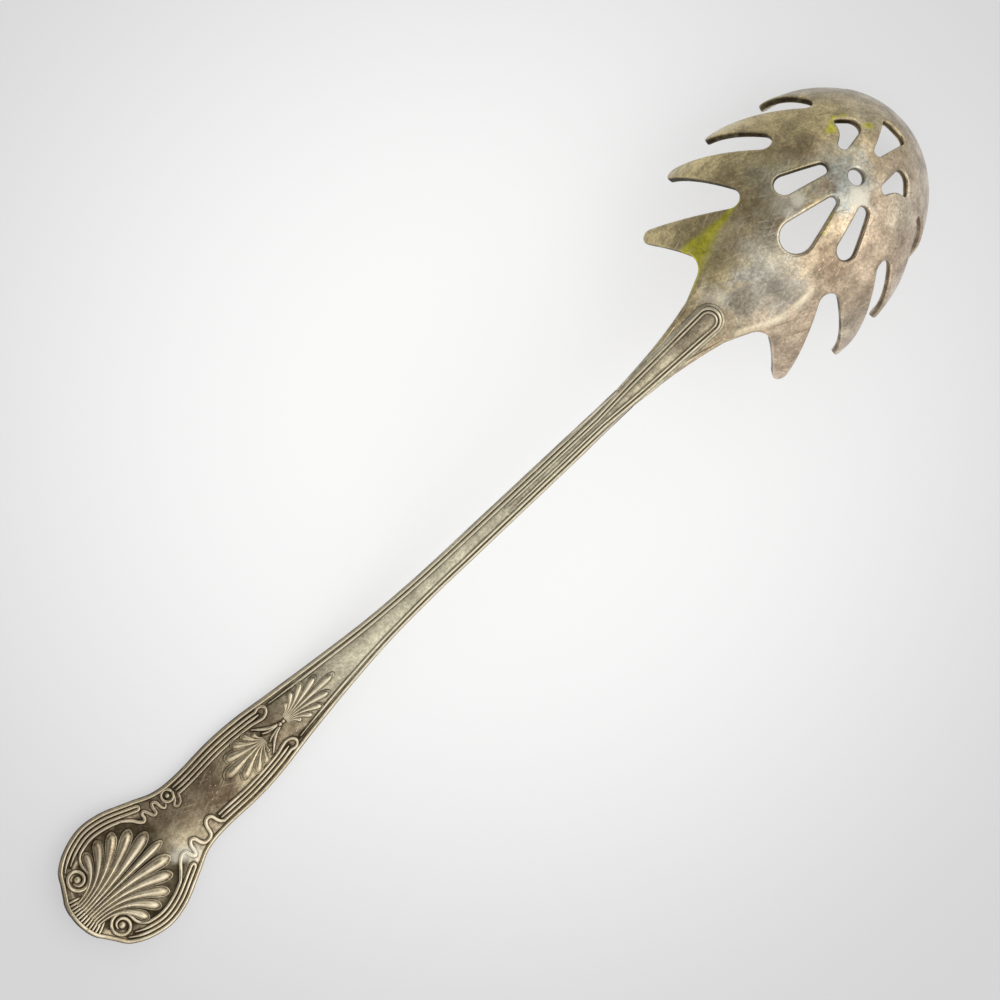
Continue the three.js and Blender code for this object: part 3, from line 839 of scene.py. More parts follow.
def press_bend(turn, bowl):
    """Bend of the dome per millimetre in each direction, from its four press radii."""
    end, neck, side = MM / bowl.end_radius, MM / bowl.neck_radius, MM / bowl.side_radius
    mean, half = (end + neck) / 2, (end - neck) / 2
    c0, c2 = (mean + side) / 2, (mean - side) / 2
    c1 = ((MM / bowl.shoulder_radius - c0 + c2 / 2 + half) * 2) / 3
    c3 = half - c1
    return c0 + c1 * np.cos(turn) + c2 * np.cos(2 * turn) + c3 * np.cos(3 * turn)


def pressed(x, y, bowl, steps=40):
    """Back surface of the bowl over blank points, from the dome's pole."""
    reach, turn = np.hypot(x, y), np.arctan2(y, x)
    bend = press_bend(turn, bowl)
    out, down = np.zeros_like(reach), np.zeros_like(reach)
    for k in range(steps):
        at = reach * (k + 0.5) / steps
        band = 1 - ease(at * np.abs(np.sin(turn)), *NECK_BAND)
        hold = band * ease(-at * np.cos(turn), *STRAIGHTEN)
        slope = mix(at * bend, bowl.neck_slope, hold)
        out += np.cos(slope) * reach / steps
        down += np.sin(slope) * reach / steps
    px, py, pz = out * np.cos(turn), out * np.sin(turn), -down
    c, s = math.cos(bowl.tilt), math.sin(bowl.tilt)
    return np.stack([c * px + s * pz, py, -s * px + c * pz], axis=-1)


def pressed_normal(x, y, bowl, step=0.05):
    along = pressed(x + step, y, bowl) - pressed(x - step, y, bowl)
    across = pressed(x, y + step, bowl) - pressed(x, y - step, bowl)
    normal = np.cross(along, across)
    return normal / np.linalg.norm(normal, axis=-1, keepdims=True)


def sheet_at(x, bowl):
    """Thickness of the sheet, which grows towards the neck."""
    return mix(bowl.sheet / MM, NECK_SHEET, ease(-x, STRAIGHTEN[0], NECK_FLARE))


def bowl_seat(bowl):
    """Row place of the dome's pole, so that the lowest prong stands where the frame's does."""
    x, y = bowl_contours(SEAT_STEP)[0].T
    back = pressed(x, y, bowl)
    front = back - pressed_normal(x, y, bowl) * sheet_at(x, bowl)[:, None]
    lowest = min(back[:, 2].min(), front[:, 2].min())
    return np.array([POLE_X + row_shift(), 0.0, BOWL_LOW.z / MM - lowest])


def bowl_points(x, y, bowl, up=0.0):
    """Row points of the bowl's back over blank points, in millimetres, at a height over it."""
    return pressed(x, y, bowl) + pressed_normal(x, y, bowl) * np.reshape(up, (-1, 1)) + bowl_seat(bowl)


def row_shift():
    """Distance in X from the handle's own end to the row's origin."""
    return HANDLE_LOW.x / MM


# Handle: outline, lie and the faces that the ornament is laid on

def tongue_side(first, steps, turns):
    """Side of the tongue on +Y: reaches from the dome's pole and half-widths, to the end of its round tip."""
    tip = TONGUE_END + TONGUE_HALF * (1 - np.sin(turns))
    reach = np.concatenate([np.linspace(first, TONGUE_END + TONGUE_HALF, steps), tip])
    half = np.concatenate([np.linspace(TONGUE_ROOT_HALF, TONGUE_HALF, steps), TONGUE_HALF * np.cos(turns)])
    return reach, half


class HandleForm:
    """Plan and lie of the handle, in millimetres from its shell end."""

    def __init__(self, bowl, handle):
        self.ground = handle.ground / MM
        self.recess = handle.shell_recess / MM
        self.lap = bowl_points(np.array([-TONGUE_END]), np.array([0.0]), bowl)[0]
        self.tilt = bowl.neck_slope - bowl.tilt
        self.up = np.array([-math.sin(self.tilt), 0.0, math.cos(self.tilt)])
        self.away = np.array([-math.cos(self.tilt), 0.0, -math.sin(self.tilt)])
        joint = self.lap_point(TANG_END) - self.up * NECK_SHEET
        self.joint_x, self.joint_z = joint[0] - row_shift(), joint[2]
        turns = np.radians(np.linspace(4, 66, 20))
        foot = np.stack([SHELL_FOOT_DEPTH * (1 - np.cos(turns)), SHELL_FOOT_HALF * np.sin(turns)], axis=1)
        butt = np.array([[self.joint_x - SEAT_GAP, BUTT_HALF]])
        self.plan = np.vstack([foot, spline(OUTLINE, 16), butt])
        reach, half = tongue_side(TANG_END, 12, np.radians(np.linspace(0, 90, 14))[1:])
        self.tongue = np.stack([self.joint_x + (TANG_END - reach) * math.cos(self.tilt), half], axis=1)

    def lap_point(self, reach):
        """Row point on the neck's middle line, in millimetres, at a reach from the dome's pole."""
        return self.lap + self.away * (reach - TONGUE_END)

    def half(self, x):
        """Half-width of the handle, or of its tongue past the joint."""
        on_tongue = np.interp(x, self.tongue[:, 0], self.tongue[:, 1])
        on_blank = np.interp(x, self.plan[:, 0], self.plan[:, 1])
        return np.where(np.asarray(x) > self.joint_x, on_tongue, on_blank)

    def front_line(self, x):
        """Height of the front's middle line: lifted at the shell end, flat under the panel, then rising."""
        x = np.asarray(x, float)
        end = END_LIFT * (np.clip(REST[0] - x, 0, None) / REST[0]) ** 2
        stem = self.joint_z + (x - self.joint_x) * math.tan(self.tilt)
        span = STEM_START - REST[1]
        t = np.clip((x - REST[1]) / span, 0, 1)
        stem_start = self.joint_z + (STEM_START - self.joint_x) * math.tan(self.tilt)
        rise = stem_start * t * t * (3 - 2 * t) + math.tan(self.tilt) * span * t * t * (t - 1)
        return np.where(x <= REST[1], end, np.where(x >= STEM_START, stem, rise))

    def lie(self, x, y, up):
        """Row points in metres for plan points and their height over the front line."""
        step = 0.02
        turn = np.arctan2(self.front_line(x + step) - self.front_line(x - step), 2 * step)
        row_x = x - up * np.sin(turn) + row_shift()
        row_z = self.front_line(x) + up * np.cos(turn)
        return np.stack([row_x, y, row_z], axis=-1) * MM

    def thickness(self, x):
        return mix(END_THICKNESS, STEM_THICKNESS, ease(x, REST[1], STEM_START))

    def shell_ground(self, x, y):
        """Extra depth inside the border of the shell."""
        inset = self.half(x) - np.abs(y)
        return self.recess * ease(inset, *RECESS_INSET) * (1 - ease(x, *RECESS_END)) * ease(x, *RECESS_START)

    def bloom(self, x):
        """Share of brown bloom: full on the shell's half, thin along the stem and thicker on the tongue."""
        thinned = mix(1.0, STEM_BLOOM, ease(x, *BLOOM_THINS))
        return mix(thinned, TONGUE_BLOOM, ease(x, self.joint_x - 12, self.joint_x + 6))

    def shoulder(self, x, y):
        """Fall of the stem's sides to the neck beside the tongue's root."""
        start, end = (self.joint_x - run for run in SHOULDER_RUN)
        falls = ease(x, start, end) * (np.asarray(x) <= self.joint_x)
        return TONGUE_THICKNESS * falls * ease(np.abs(y), *SHOULDER_SIDE)

    def face_height(self, x, y, face):
        """Height of a face's ground over the front line."""
        half = np.maximum(self.half(x), 1e-3)
        bulge = BACK_CROWN * np.minimum(1, half / CROWN_FULL_HALF) * np.minimum(1.0, (y / half) ** 2)
        sunk = self.ground + self.shell_ground(x, y)
        if face == "back":
            return self.thickness(x) - bulge - sunk - self.shoulder(x, y)
        return bulge * ease(x, *FRONT_CROWN) + sunk + FRONT_SINK

    def back_point(self, x, y):
        return self.lie(x, y, self.face_height(x, y, "back"))

    def offset(self, inset, x_low, x_high, step=0.3):
        """Run at an inset inside the outline, or at one on the panel and one on the stem, between two places."""
        plan = resampled(self.plan[self.plan[:, 0] >= 0.15], 0.15)
        on_panel, on_stem = np.broadcast_to(inset, 2)
        run = beside(plan, mix(on_panel, on_stem, ease(plan[:, 0], *PANEL_TO_STEM)))
        return resampled(run[(run[:, 0] >= x_low) & (run[:, 0] <= x_high)], step)


def handle_form(scene):
    return HandleForm(scene.server_bowl, scene.server_handle)


def lay_piece(form, name, mesh, faces, material, brightened=1.0):
    """Piece of ornament from a plan mesh, carried over to faces of the handle, with its crests rubbed bright."""
    plan, polygons = mesh_arrays(mesh)
    x, y, z = plan.T
    vertices, made = [], []
    for face in faces:
        start = len(plan) * len(vertices)
        lift = form.face_height(x, y, face) + (z if face == "back" else -z * FRONT_RELIEF)
        vertices.append(form.lie(x, y, lift))
        turned = polygons if face == "back" else [polygon[::-1] for polygon in polygons]
        made += [[start + k for k in polygon] for polygon in turned]
    piece = new_piece(name, np.vstack(vertices), made, material)
    crown = np.empty(len(plan), np.float32)
    mesh.attributes["crown"].data.foreach_get("value", crown)
    # Painted shade: the bright crests are dimmed on +Y of the shell's half, the side turned from the light
    plus_y_shade = 1 - 0.45 * ease(y, 1.0, 4.0) * (1 - ease(x, 55, 65))
    hollow = 1 - ease(crown, *CROWN_TARNISHED)
    edge = ease(crown, *CROWN_RUBBED) * plus_y_shade * brightened
    store_wear_and_painted_light(piece, *(np.tile(values, len(faces)) for values in (hollow, edge, form.bloom(x))))
    return piece


def handle_blank(form, columns=58):
    """Plain struck blank with its tongue: vertices, faces, and the plan place of each vertex."""
    plan = form.plan
    near_shell = plan[:, 0] < 30
    stations = [(x, half, 0.0) for x, half in resampled(plan[near_shell], 0.3)]
    stations += [(x, half, 0.0) for x, half in resampled(plan[~near_shell], 0.55)]
    tongue = resampled(form.tongue[form.tongue[:, 1] > 0.05], 0.3)
    stations += [(x, half, NECK_SHEET + SEAT_GAP) for x, half in tongue]
    turns = np.linspace(0, math.pi / 2, 6)
    vertices, places = [], []
    for x, half, low in stations:
        r = BLANK_ROUND * min(1.0, half / 1.5)
        corner = np.stack([half - r * (1 - np.cos(turns)), r * (1 - np.sin(turns))], axis=1)
        inner = np.linspace(half - r, -(half - r), columns)[1:-1]
        y = np.concatenate([corner[:, 0], inner, -corner[::-1, 0]])
        drop = np.concatenate([corner[:, 1], np.zeros(len(inner)), corner[::-1, 1]])
        at = np.full_like(y, x)
        back = form.face_height(at, y, "back") - drop
        front = np.maximum(form.face_height(at, y, "front"), low) + drop
        if low > 0:
            front = low + drop * 0.2
        vertices.append(np.vstack([form.lie(at, y, back), form.lie(at, y, front)[::-1]]))
        places.append(np.stack([np.tile(at, 2), np.concatenate([y, y[::-1]])], axis=1))
    count = len(vertices[0])
    faces = []
    for s in range(len(vertices) - 1):
        for k in range(count):
            a, b = s * count + k, s * count + (k + 1) % count
            faces.append((a, b, b + count, a + count))
    faces.append(tuple(range(count))[::-1])
    faces.append(tuple(range((len(vertices) - 1) * count, len(vertices) * count)))
    return np.vstack(vertices), faces, np.vstack(places)


def mirrored(runs):
    """Same runs on the -Y side."""
    return [(np.asarray(path) * (1, -1), half) for path, half in runs]


def dome_path(x, y, radius):
    """Short run whose thread is a round boss."""
    along = np.linspace(-0.995, 0.995, 13) * radius
    return np.stack([x + along, np.full_like(along, y)], axis=1), np.sqrt(radius ** 2 - along ** 2)


def tapered(path, half, start=1.0, end=1.0, reach=0.2):
    """Half-widths that narrow towards the ends of a run."""
    share = np.linspace(0, 1, len(path))
    return half * mix(start, 1.0, ease(share, 0, reach)) * mix(end, 1.0, ease(1 - share, 0, reach))


def hairpin(outer, inner, bulge):
    """Two runs joined by a round turn at their far ends."""
    a, b = outer[-1], inner[-1]
    middle, across = (a + b) / 2, (b - a) / 2
    ahead = (outer[-1] - outer[-4]) / np.linalg.norm(outer[-1] - outer[-4]) * bulge
    turns = np.linspace(math.pi, 0, 9)[1:-1]
    arc = [middle + across * math.cos(t) + ahead * math.sin(t) for t in turns]
    return np.vstack([outer, arc, inner[::-1]])


def border_runs(form, curled):
    """Threads, volute and scroll of one side, drawn on +Y: the scroll curls and has a boss, or is a meander."""
    runs = []
    edge = form.offset((0.5, 0.42), 0.5, form.joint_x - 0.2)
    low = mix(1.0, 0.3, ease(edge[:, 0], form.joint_x - 14, form.joint_x - 1))
    runs.append((edge, mix(0.5, 0.40, ease(edge[:, 0], *PANEL_TO_STEM)) * low))

    lobe_outer = form.offset(1.45, 5.8, 27.0)
    lobe_middle = form.offset(2.42, 7.6, 26.6)
    lobe = hairpin(lobe_outer, lobe_middle, 0.7)
    runs.append((lobe, tapered(lobe, 0.46, 0.3, 0.3, 0.08)))
    turns = np.radians(np.linspace(-180, 360, 64))
    volute = circle(*VOLUTE, np.linspace(1.1, 2.8, len(turns)), turns)
    lobe_inner = form.offset(3.45, 11.2, 22.4)
    lead = spline([volute[-1], (9.6, 8.5), (10.3, 9.7), lobe_inner[0]], 8)[1:-1]
    scroll = CURL_SCROLL if curled else MEANDER_SCROLL
    runs.append(dome_path(*VOLUTE, 0.95))

    start = 35.6 if curled else 38.6
    side_outer = form.offset(1.58, start, 60.2)
    side_middle = form.offset(2.5, start, 60.4)
    side_inner = form.offset(3.42, start, 57.6)
    hook = spline([side_outer[-1], *SIDE_HOOK, side_inner[-1]], 6)[1:-1]
    sides = np.vstack([side_outer, hook, side_inner[::-1]])
    inwards = np.vstack([volute, lead, spline([*lobe_inner, *scroll], 3)])
    if curled:
        runs.append((inwards, tapered(inwards, 0.52, 0.5, 0.5, 0.04)))
        runs.append((circle(*BOSS, np.linspace(0, 2 * math.pi, 25)), 0.42))
        runs.append(dome_path(*BOSS[:2], 0.62))
        tail = spline([*BOSS_TAIL, side_inner[0]], 5)
        sides = np.vstack([sides, tail[::-1][1:]])
        runs.append((sides, tapered(sides, 0.43, 0.5, 0.8, 0.04)))
    else:
        joined = np.vstack([inwards, spline([inwards[-1], side_outer[0]], 4)[1:-1], sides])
        bold = mix(1.0, 1.25, ease(joined[:, 0], 23, 26) * (1 - ease(joined[:, 0], 36.5, 38.5)))
        runs.append((joined, tapered(joined, 0.48, 0.5, 0.6, 0.03) * bold))
    runs.append((side_middle, tapered(side_middle, 0.42, 0.5, 0.5, 0.08)))
    return runs


def stem_runs(form):
    """Two threads down the stem that close in a round drop on the neck, each one run with its mirror."""
    runs = []
    outline = form.tongue[form.tongue[:, 1] > 0.02]
    outline = resampled(np.vstack([outline, [form.tongue[-1][0], 0.0]]), 0.25)
    # Inset on the tongue, half-width, start and inset on the stem of each thread
    threads = ((0.42, 0.40, STEM_THREADS_START, 1.28), (1.24, 0.31, form.joint_x - 34.0, 2.02))
    for inset, half, start, stem_inset in threads:
        drop = beside(outline, inset)
        drop = drop[(drop[:, 1] >= 0.0) & (drop[:, 0] > form.joint_x + 3.0)]
        stem = form.offset((stem_inset + 0.45, stem_inset), start, form.joint_x - 7.0, 0.8)
        bridge = np.linspace(stem[-1], drop[0], 12)[1:-1]
        side = spline([*stem, *bridge, *drop[:-2:4], drop[-1]], 4)
        path = resampled(np.vstack([side, (side * (1, -1))[::-1][1:]]), 0.3)
        runs.append((path, tapered(path, half, 0.3, 0.3, 0.04)))
    return runs


def foot_runs():
    """Short ribs across the shell's foot, and the edge thread that closes it."""
    runs = [(spline([(0.80, 2.7), (0.55, 1.4), (0.48, 0.0), (0.55, -1.4), (0.80, -2.7)], 6), 0.46)]
    root_gap, edge_gap = 0.62, 0.80
    for k in range(-6, 7):
        low = SHELL_FOOT_DEPTH * (1 - math.sqrt(1 - (k * edge_gap / SHELL_FOOT_HALF) ** 2)) + 0.7
        rib = np.stack([np.linspace(4.6, low, 9), np.linspace(k * root_gap, k * edge_gap, 9)], axis=1)
        runs.append((rib, tapered(rib, 0.34, 0.3, 0.8, 0.3)))
    return runs


def knot_runs():
    """Arms of the palmette on +Y, and the beads of the knot that they end in."""
    arms = [(spline(arm, 6), half) for arm, half in zip(PALMETTE_ARMS, (0.46, 0.34))]
    arms = [(path, tapered(path, half, 0.7, 0.5, 0.4)) for path, half in arms]
    return arms + mirrored(arms) + [dome_path(x, 0.0, radius) for x, radius in KNOT]


def thread_runs(form):
    """Every thread of the handle, with the pieces that they make and the faces that carry them."""
    border = border_runs(form, True) + mirrored(border_runs(form, False))
    plain = form.offset((1.73, 1.28), STEM_THREADS_START, form.joint_x - 2.0)
    stem = [(plain, tapered(plain, 0.4, 0.3, 0.3, 0.05))]
    return [
        ("border_threads", border, ("back", "front")),
        ("stem_threads", stem_runs(form), ("back",)),
        ("stem_threads_front", stem + mirrored(stem), ("front",)),
        ("foot_ribs", foot_runs(), ("back", "front")),
        ("knot", knot_runs(), ("back", "front")),
    ]


# Finishes

def noise(build, place, scale, detail=4.0, rough=0.55, stretch=None, turn=0.0):
    """Noise value on a place vector, turned in plan and stretched along the object where asked."""
    if stretch is not None:
        place = build.add("ShaderNodeMapping", {"Vector": place, "Rotation": (0.0, 0.0, turn)})
        place = build.add("ShaderNodeMapping", {"Vector": place, "Scale": stretch})
    inputs = {"Vector": place, "Scale": scale, "Detail": detail, "Roughness": rough}
    return build.add("ShaderNodeTexNoise", inputs).outputs[0]


def plate_group(name):
    """Shader group: bloomed, scratched silver plate with tarnish in its hollows and bright worn edges, whose
    inputs also carry painted shade and painted highlights.
    """
    tree, build, source, result = group_tree(name, "ShaderNodeTree", [
        ("Place", "NodeSocketVector", None),
        ("Hollow", "NodeSocketFloat", 0.0),
        ("Edge", "NodeSocketFloat", 0.0),
        ("Plate", "NodeSocketColor", None),
        ("Bloom", "NodeSocketColor", None),
        ("Recess", "NodeSocketColor", None),
        ("Worn", "NodeSocketColor", None),
        ("Bloom amount", "NodeSocketFloat", 0.5),
        ("Scratches", "NodeSocketFloat", 0.5),
    ], [("Color", "NodeSocketColor"), ("Roughness", "NodeSocketFloat"), ("Height", "NodeSocketFloat")])
    value = source.outputs
    place = value["Place"]
    broad = noise(build, place, 55.0, 3.0)
    cloud = noise(build, place, 210.0, 6.0, 0.68)
    grain = noise(build, place, 1500.0, 3.0, 0.6)
    fleck = noise(build, place, 2300.0, 1.0, 0.5)
    lines = [noise(build, place, 1.0, 3.0, 0.6, stretch, turn)
             for stretch, turn in (((90.0, 2600.0, 900.0), 0.5), ((110.0, 2400.0, 900.0), -0.35))]
    scratch = build.math("MAXIMUM", *[build.remap(line, 0.60, 0.72) for line in lines])
    scratch = build.times(build.times(scratch, value["Scratches"]), build.remap(broad, 0.35, 0.6))

    # Brown bloom in broad patches, and a fine mottle over everything
    patch = build.plus(build.times(broad, 0.55), build.times(cloud, 0.45))
    bloom = build.times(build.remap(patch, 0.40, 0.62), value["Bloom amount"])
    colour = build.blend(bloom, value["Plate"], value["Bloom"])
    fine = build.remap(grain, 0.32, 0.70, 0.78, 1.17)
    colour = build.shaded(colour, build.times(fine, build.remap(cloud, 0.3, 0.7, 1.2, 0.77)))

    # Dark hatching, bright flecks and scratches
    hatch = build.math("MAXIMUM", *[build.remap(line, 0.42, 0.30) for line in lines])
    hatched = build.times(value["Scratches"], build.remap(broad, 0.35, 0.6, 0.7, 0.15))
    colour = build.blend(build.times(hatch, hatched), colour, value["Recess"])
    bright = build.times(build.remap(fleck, 0.68, 0.76), build.remap(broad, 0.42, 0.6, 0.0, 0.7))
    bright = build.math("MAXIMUM", bright, build.times(scratch, 0.55))
    colour = build.blend(bright, colour, value["Worn"])

    # Tarnish and painted shade in the hollows, and wear and painted highlight on the edges
    tarnish_and_shade = build.times(value["Hollow"], build.remap(cloud, 0.25, 0.6, 0.7, 1.0), clamp=True)
    colour = build.blend(tarnish_and_shade, colour, value["Recess"])
    wear_and_highlight = build.times(value["Edge"], build.remap(cloud, 0.3, 0.65))
    colour = build.blend(wear_and_highlight, colour, value["Worn"])
    rough = build.remap(cloud, 0.3, 0.7, 0.17, 0.29)
    rough = build.plus(rough, build.times(bloom, 0.12))
    rough = build.plus(rough, build.times(tarnish_and_shade, 0.25))
    height = build.plus(build.times(cloud, 0.5), build.times(scratch, -0.35))
    for output, made in (("Color", colour), ("Roughness", rough), ("Height", height)):
        build.feed(result.inputs[output], made)
    return tree


def patch_group(name):
    """Shader group: mask of a ragged patch round a place."""
    tree, build, source, result = group_tree(name, "ShaderNodeTree", [
        ("Place", "NodeSocketVector", None),
        ("Centre", "NodeSocketVector", None),
        ("Reach", "NodeSocketFloat", 0.01),
        ("Raggedness", "NodeSocketFloat", 1.6),
    ], [("Mask", "NodeSocketFloat")])
    value = source.outputs
    gap = build.measure("DISTANCE", value["Place"], value["Centre"])
    ragged = build.minus(noise(build, value["Place"], 260.0, 5.0, 0.65), 0.5)
    away = build.plus(build.over(gap, value["Reach"]), build.times(ragged, value["Raggedness"]))
    build.feed(result.inputs["Mask"], build.remap(away, 0.1, 1.0, 1.0, 0.0))
    return tree


def patch_masks(build, place, patches, where):
    """Masks of ragged patches of X, Y, reach and strength; where() gives the row points of X and Y in metres."""
    group = group_once("Ragged patch", patch_group)
    masks = []
    for x, y, reach, strength in patches:
        patch = build.add("ShaderNodeGroup", node_tree=group)
        build.feed(patch.inputs["Place"], place)
        patch.inputs["Centre"].default_value = where(np.array([x]), np.array([y]))[0]
        patch.inputs["Reach"].default_value = reach * MM
        masks.append(build.times(patch, strength))
    return masks


def patched(build, place, colour, patches, tint, where):
    for mask in patch_masks(build, place, patches, where):
        colour = build.blend(mask, colour, rgba(tint))
    return colour


def rgba(colour):
    return (*colour, 1.0)


def bowl_tarnish_and_painted_light(build, place, finish, bowl):
    """Plate colour of the bowl with its tarnish, painted light and painted shade, and the masks of its film and
    painted highlight.
    """
    def where(x, y):
        return bowl_points(x, y, bowl) * MM

    across = build.add("ShaderNodeSeparateXYZ", (place,)).outputs["Y"]
    side = build.plus(across, build.times(noise(build, place, 70.0, 3.0), 0.02))
    plate = build.blend(build.remap(side, -0.004, 0.026), rgba(finish.blush), rgba(finish.olive))
    tints = ((PALE_AND_LIT_PATCHES, finish.pale_and_lit), (STEEL_PATCHES, finish.steel), (SMUDGE_AND_SHADE_PATCHES, finish.bloom))
    for patches, tint in tints:
        plate = patched(build, place, plate, patches, tint, where)
    return plate, patch_masks(build, place, FILM_AND_GLINT_PATCHES, where)


def with_stain_and_reflection(build, place, colour, finish):
    """Colour under the ragged yellow stain, partly a painted yellow-green reflection, that its attribute gives.
    """
    stain_and_reflection = build.attribute("stain_and_reflection")
    ragged = noise(build, place, 520.0, 6.0, 0.72)
    stain_and_reflection = build.plus(stain_and_reflection, build.times(build.minus(ragged, 0.5), 1.5))
    tint = build.shaded(rgba(finish.stain_and_reflection), build.remap(ragged, 0.3, 0.7, 1.15, 0.5))
    return build.blend(build.remap(stain_and_reflection, 0.2, 1.5, 0.0, 0.9), colour, tint)


def handle_tarnish_and_painted_highlight(build, place, plate, finish, form):
    """Plate colour of the handle with its bloom and painted highlight, and the masks of its painted highlight
    film.
    """
    # The bright worn colour here is a painted highlight beside the -Y lobe, and the film below paints it too
    for patches, tint in ((PANEL_BLOOM, finish.bloom), (PANEL_PAINTED_HIGHLIGHT, finish.worn)):
        plate = patched(build, place, plate, patches, tint, form.back_point)
    return plate, patch_masks(build, place, PANEL_HIGHLIGHT_FILM, form.back_point)


def plate_material(name, finish, bump, scratches, bowl=None, form=None):
    """Worn plate that reads the wear attributes of its mesh, with the tarnish of a bowl or a handle."""
    material = bpy.data.materials.new(name)
    build = fresh_builder(material)
    worn = build.add("ShaderNodeGroup", node_tree=group_once("Worn plate", plate_group))
    place = build.add("ShaderNodeTexCoord").outputs["Object"]
    bloom = build.attribute("bloom")
    clean = build.remap(bloom, 0.2, 1.0, 0.5, 0.0)
    plate = build.blend(clean, rgba(finish.plate), rgba(finish.silver))
    colour = worn.outputs["Color"]
    film_and_glint_masks = []
    if bowl is not None:
        plate, film_and_glint_masks = bowl_tarnish_and_painted_light(build, place, finish, bowl)
        colour = with_stain_and_reflection(build, place, colour, finish)
    if form is not None:
        plate, film_and_glint_masks = handle_tarnish_and_painted_highlight(build, place, plate, finish, form)
    inputs = {
        "Place": place, "Hollow": build.attribute("hollow"), "Edge": build.attribute("edge"), "Plate": plate,
        "Bloom": rgba(finish.bloom), "Recess": rgba(finish.recess), "Worn": rgba(finish.worn),
        "Bloom amount": bloom, "Scratches": scratches,
    }
    for key, value in inputs.items():
        build.feed(worn.inputs[key], value)

    # The film and the painted highlights are dull, so they take away most of the metal's shine
    metal = 1.0
    if film_and_glint_masks:
        film_and_glint = reduce(partial(build.math, "MAXIMUM"), film_and_glint_masks)
        colour = build.blend(film_and_glint, colour, rgba(finish.film_and_glint))
        metal = build.minus(1.0, build.times(film_and_glint, FILM_AND_GLINT_DULLS))
    relief = {"Strength": bump, "Distance": BUMP_DISTANCE, "Height": worn.outputs["Height"]}
    shader = build.add("ShaderNodeBsdfPrincipled", {
        "Base Color": colour, "Metallic": metal, "Roughness": worn.outputs["Roughness"],
        "Normal": build.add("ShaderNodeBump", relief)})
    build.add("ShaderNodeOutputMaterial", {"Surface": shader})
    return material


def material_for(slot, scene):
    """Finish of a material slot, made once."""
    found = bpy.data.materials.get(f"server {slot}")
    if found:
        return found
    bowl = scene.server_bowl if slot == "bowl_plate" else None
    form = handle_form(scene) if slot == "handle_plate" else None
    return plate_material(f"server {slot}", scene.server_finish, *PLATE_WEAR[slot], bowl, form)


# Stage: floor, soft light and camera

def floor_material(stage):
    """Pale floor with a painted pool of light round the server, darker far from it, that shows mostly its own
    colour and keeps a soft shadow.
    """
    material = bpy.data.materials.new("studio floor")
    build = fresh_builder(material)
    place = build.add("ShaderNodeTexCoord").outputs["Object"]
    away = build.measure("DISTANCE", place, FLOOR_LIGHT_POOL_CENTRE)
    colour = build.blend(build.remap(away, *FLOOR_LIGHT_POOL), rgba(stage.floor), rgba(stage.floor_far))
    rays = build.add("ShaderNodeLightPath").outputs
    mirrored_rays = build.math("MAXIMUM", rays["Is Glossy Ray"], rays["Is Transmission Ray"])
    seen = build.math("MAXIMUM", rays["Is Camera Ray"], mirrored_rays)
    lit = build.add("ShaderNodeBsdfDiffuse", {"Color": colour})
    plain = build.add("ShaderNodeEmission", {"Color": colour, "Strength": 1.0})
    shown = build.add("ShaderNodeMixShader", (build.times(seen, FLOOR_PLAIN), lit, plain))
    build.add("ShaderNodeOutputMaterial", {"Surface": shown})
    return material


def studio_world(stage):
    """Soft tent of light with a bright window, a dark spot over the camera and a shaded side."""
    world = bpy.data.worlds.new("studio")
    build = fresh_builder(world)
    way = build.add("ShaderNodeTexCoord").outputs["Generated"]
    window, dark, shaded = (build.measure("DOT_PRODUCT", way, toward)
                            for toward in (WINDOW_WAY, DARK_WAY, SHADED_WAY))
    over_camera = build.remap(dark, 0.89, 0.985, 1.05, 0.28)
    tent = build.times(over_camera, build.remap(shaded, -0.1, 0.7, 1.0, 0.45))
    bright = build.plus(tent, build.remap(window, 0.86, 0.97, 0.0, 0.5))
    strength = build.times(bright, stage.sky)
    background = build.add("ShaderNodeBackground", {"Color": SKY_COLOUR, "Strength": strength})
    build.add("ShaderNodeOutputWorld", {"Surface": background})
    return world


def key_lamp(stage):
    light = bpy.data.lights.new("key", "AREA")
    light.energy = stage.key_power
    light.size = KEY_SIZE
    lamp = bpy.data.objects.new("key", light)
    lamp.location = KEY_PLACE
    lamp.rotation_euler = (Vector(KEY_AIM) - lamp.location).to_track_quat("-Z", "Y").to_euler()
    return lamp


def studio_camera():
    """Camera at the photograph's viewing angle."""
    tilt, roll, turn, level = (math.radians(a) for a in (CAMERA_TILT, CAMERA_ROLL, CAMERA_TURN, PICTURE_TURN))
    view = Vector((-math.sin(tilt) * math.cos(roll), math.sin(roll), math.cos(tilt) * math.cos(roll)))
    right = Vector((math.cos(tilt), 0.0, math.sin(tilt)))
    up = view.cross(right)
    right, up = math.cos(turn) * right + math.sin(turn) * up, math.cos(turn) * up - math.sin(turn) * right
    across = math.cos(level) * right - math.sin(level) * up
    upward = math.sin(level) * right + math.cos(level) * up
    target = Vector((CAMERA_TARGET[0] + row_shift(), *CAMERA_TARGET[1:])) * MM
    data = bpy.data.cameras.new("studio camera")
    data.sensor_width = SENSOR
    data.lens = PICTURE_SCALE * CAMERA_DISTANCE / PICTURE_SIZE * SENSOR
    data.shift_x = 0.5 - TARGET_PIXEL[0] / PICTURE_SIZE
    data.shift_y = TARGET_PIXEL[1] / PICTURE_SIZE - 0.5
    data.clip_start = 0.01
    camera = bpy.data.objects.new("studio camera", data)
    axes = Matrix((across, upward, across.cross(upward))).transposed().to_4x4()
    camera.matrix_world = Matrix.Translation(target + view * CAMERA_DISTANCE * MM) @ axes
    return camera


# Operators

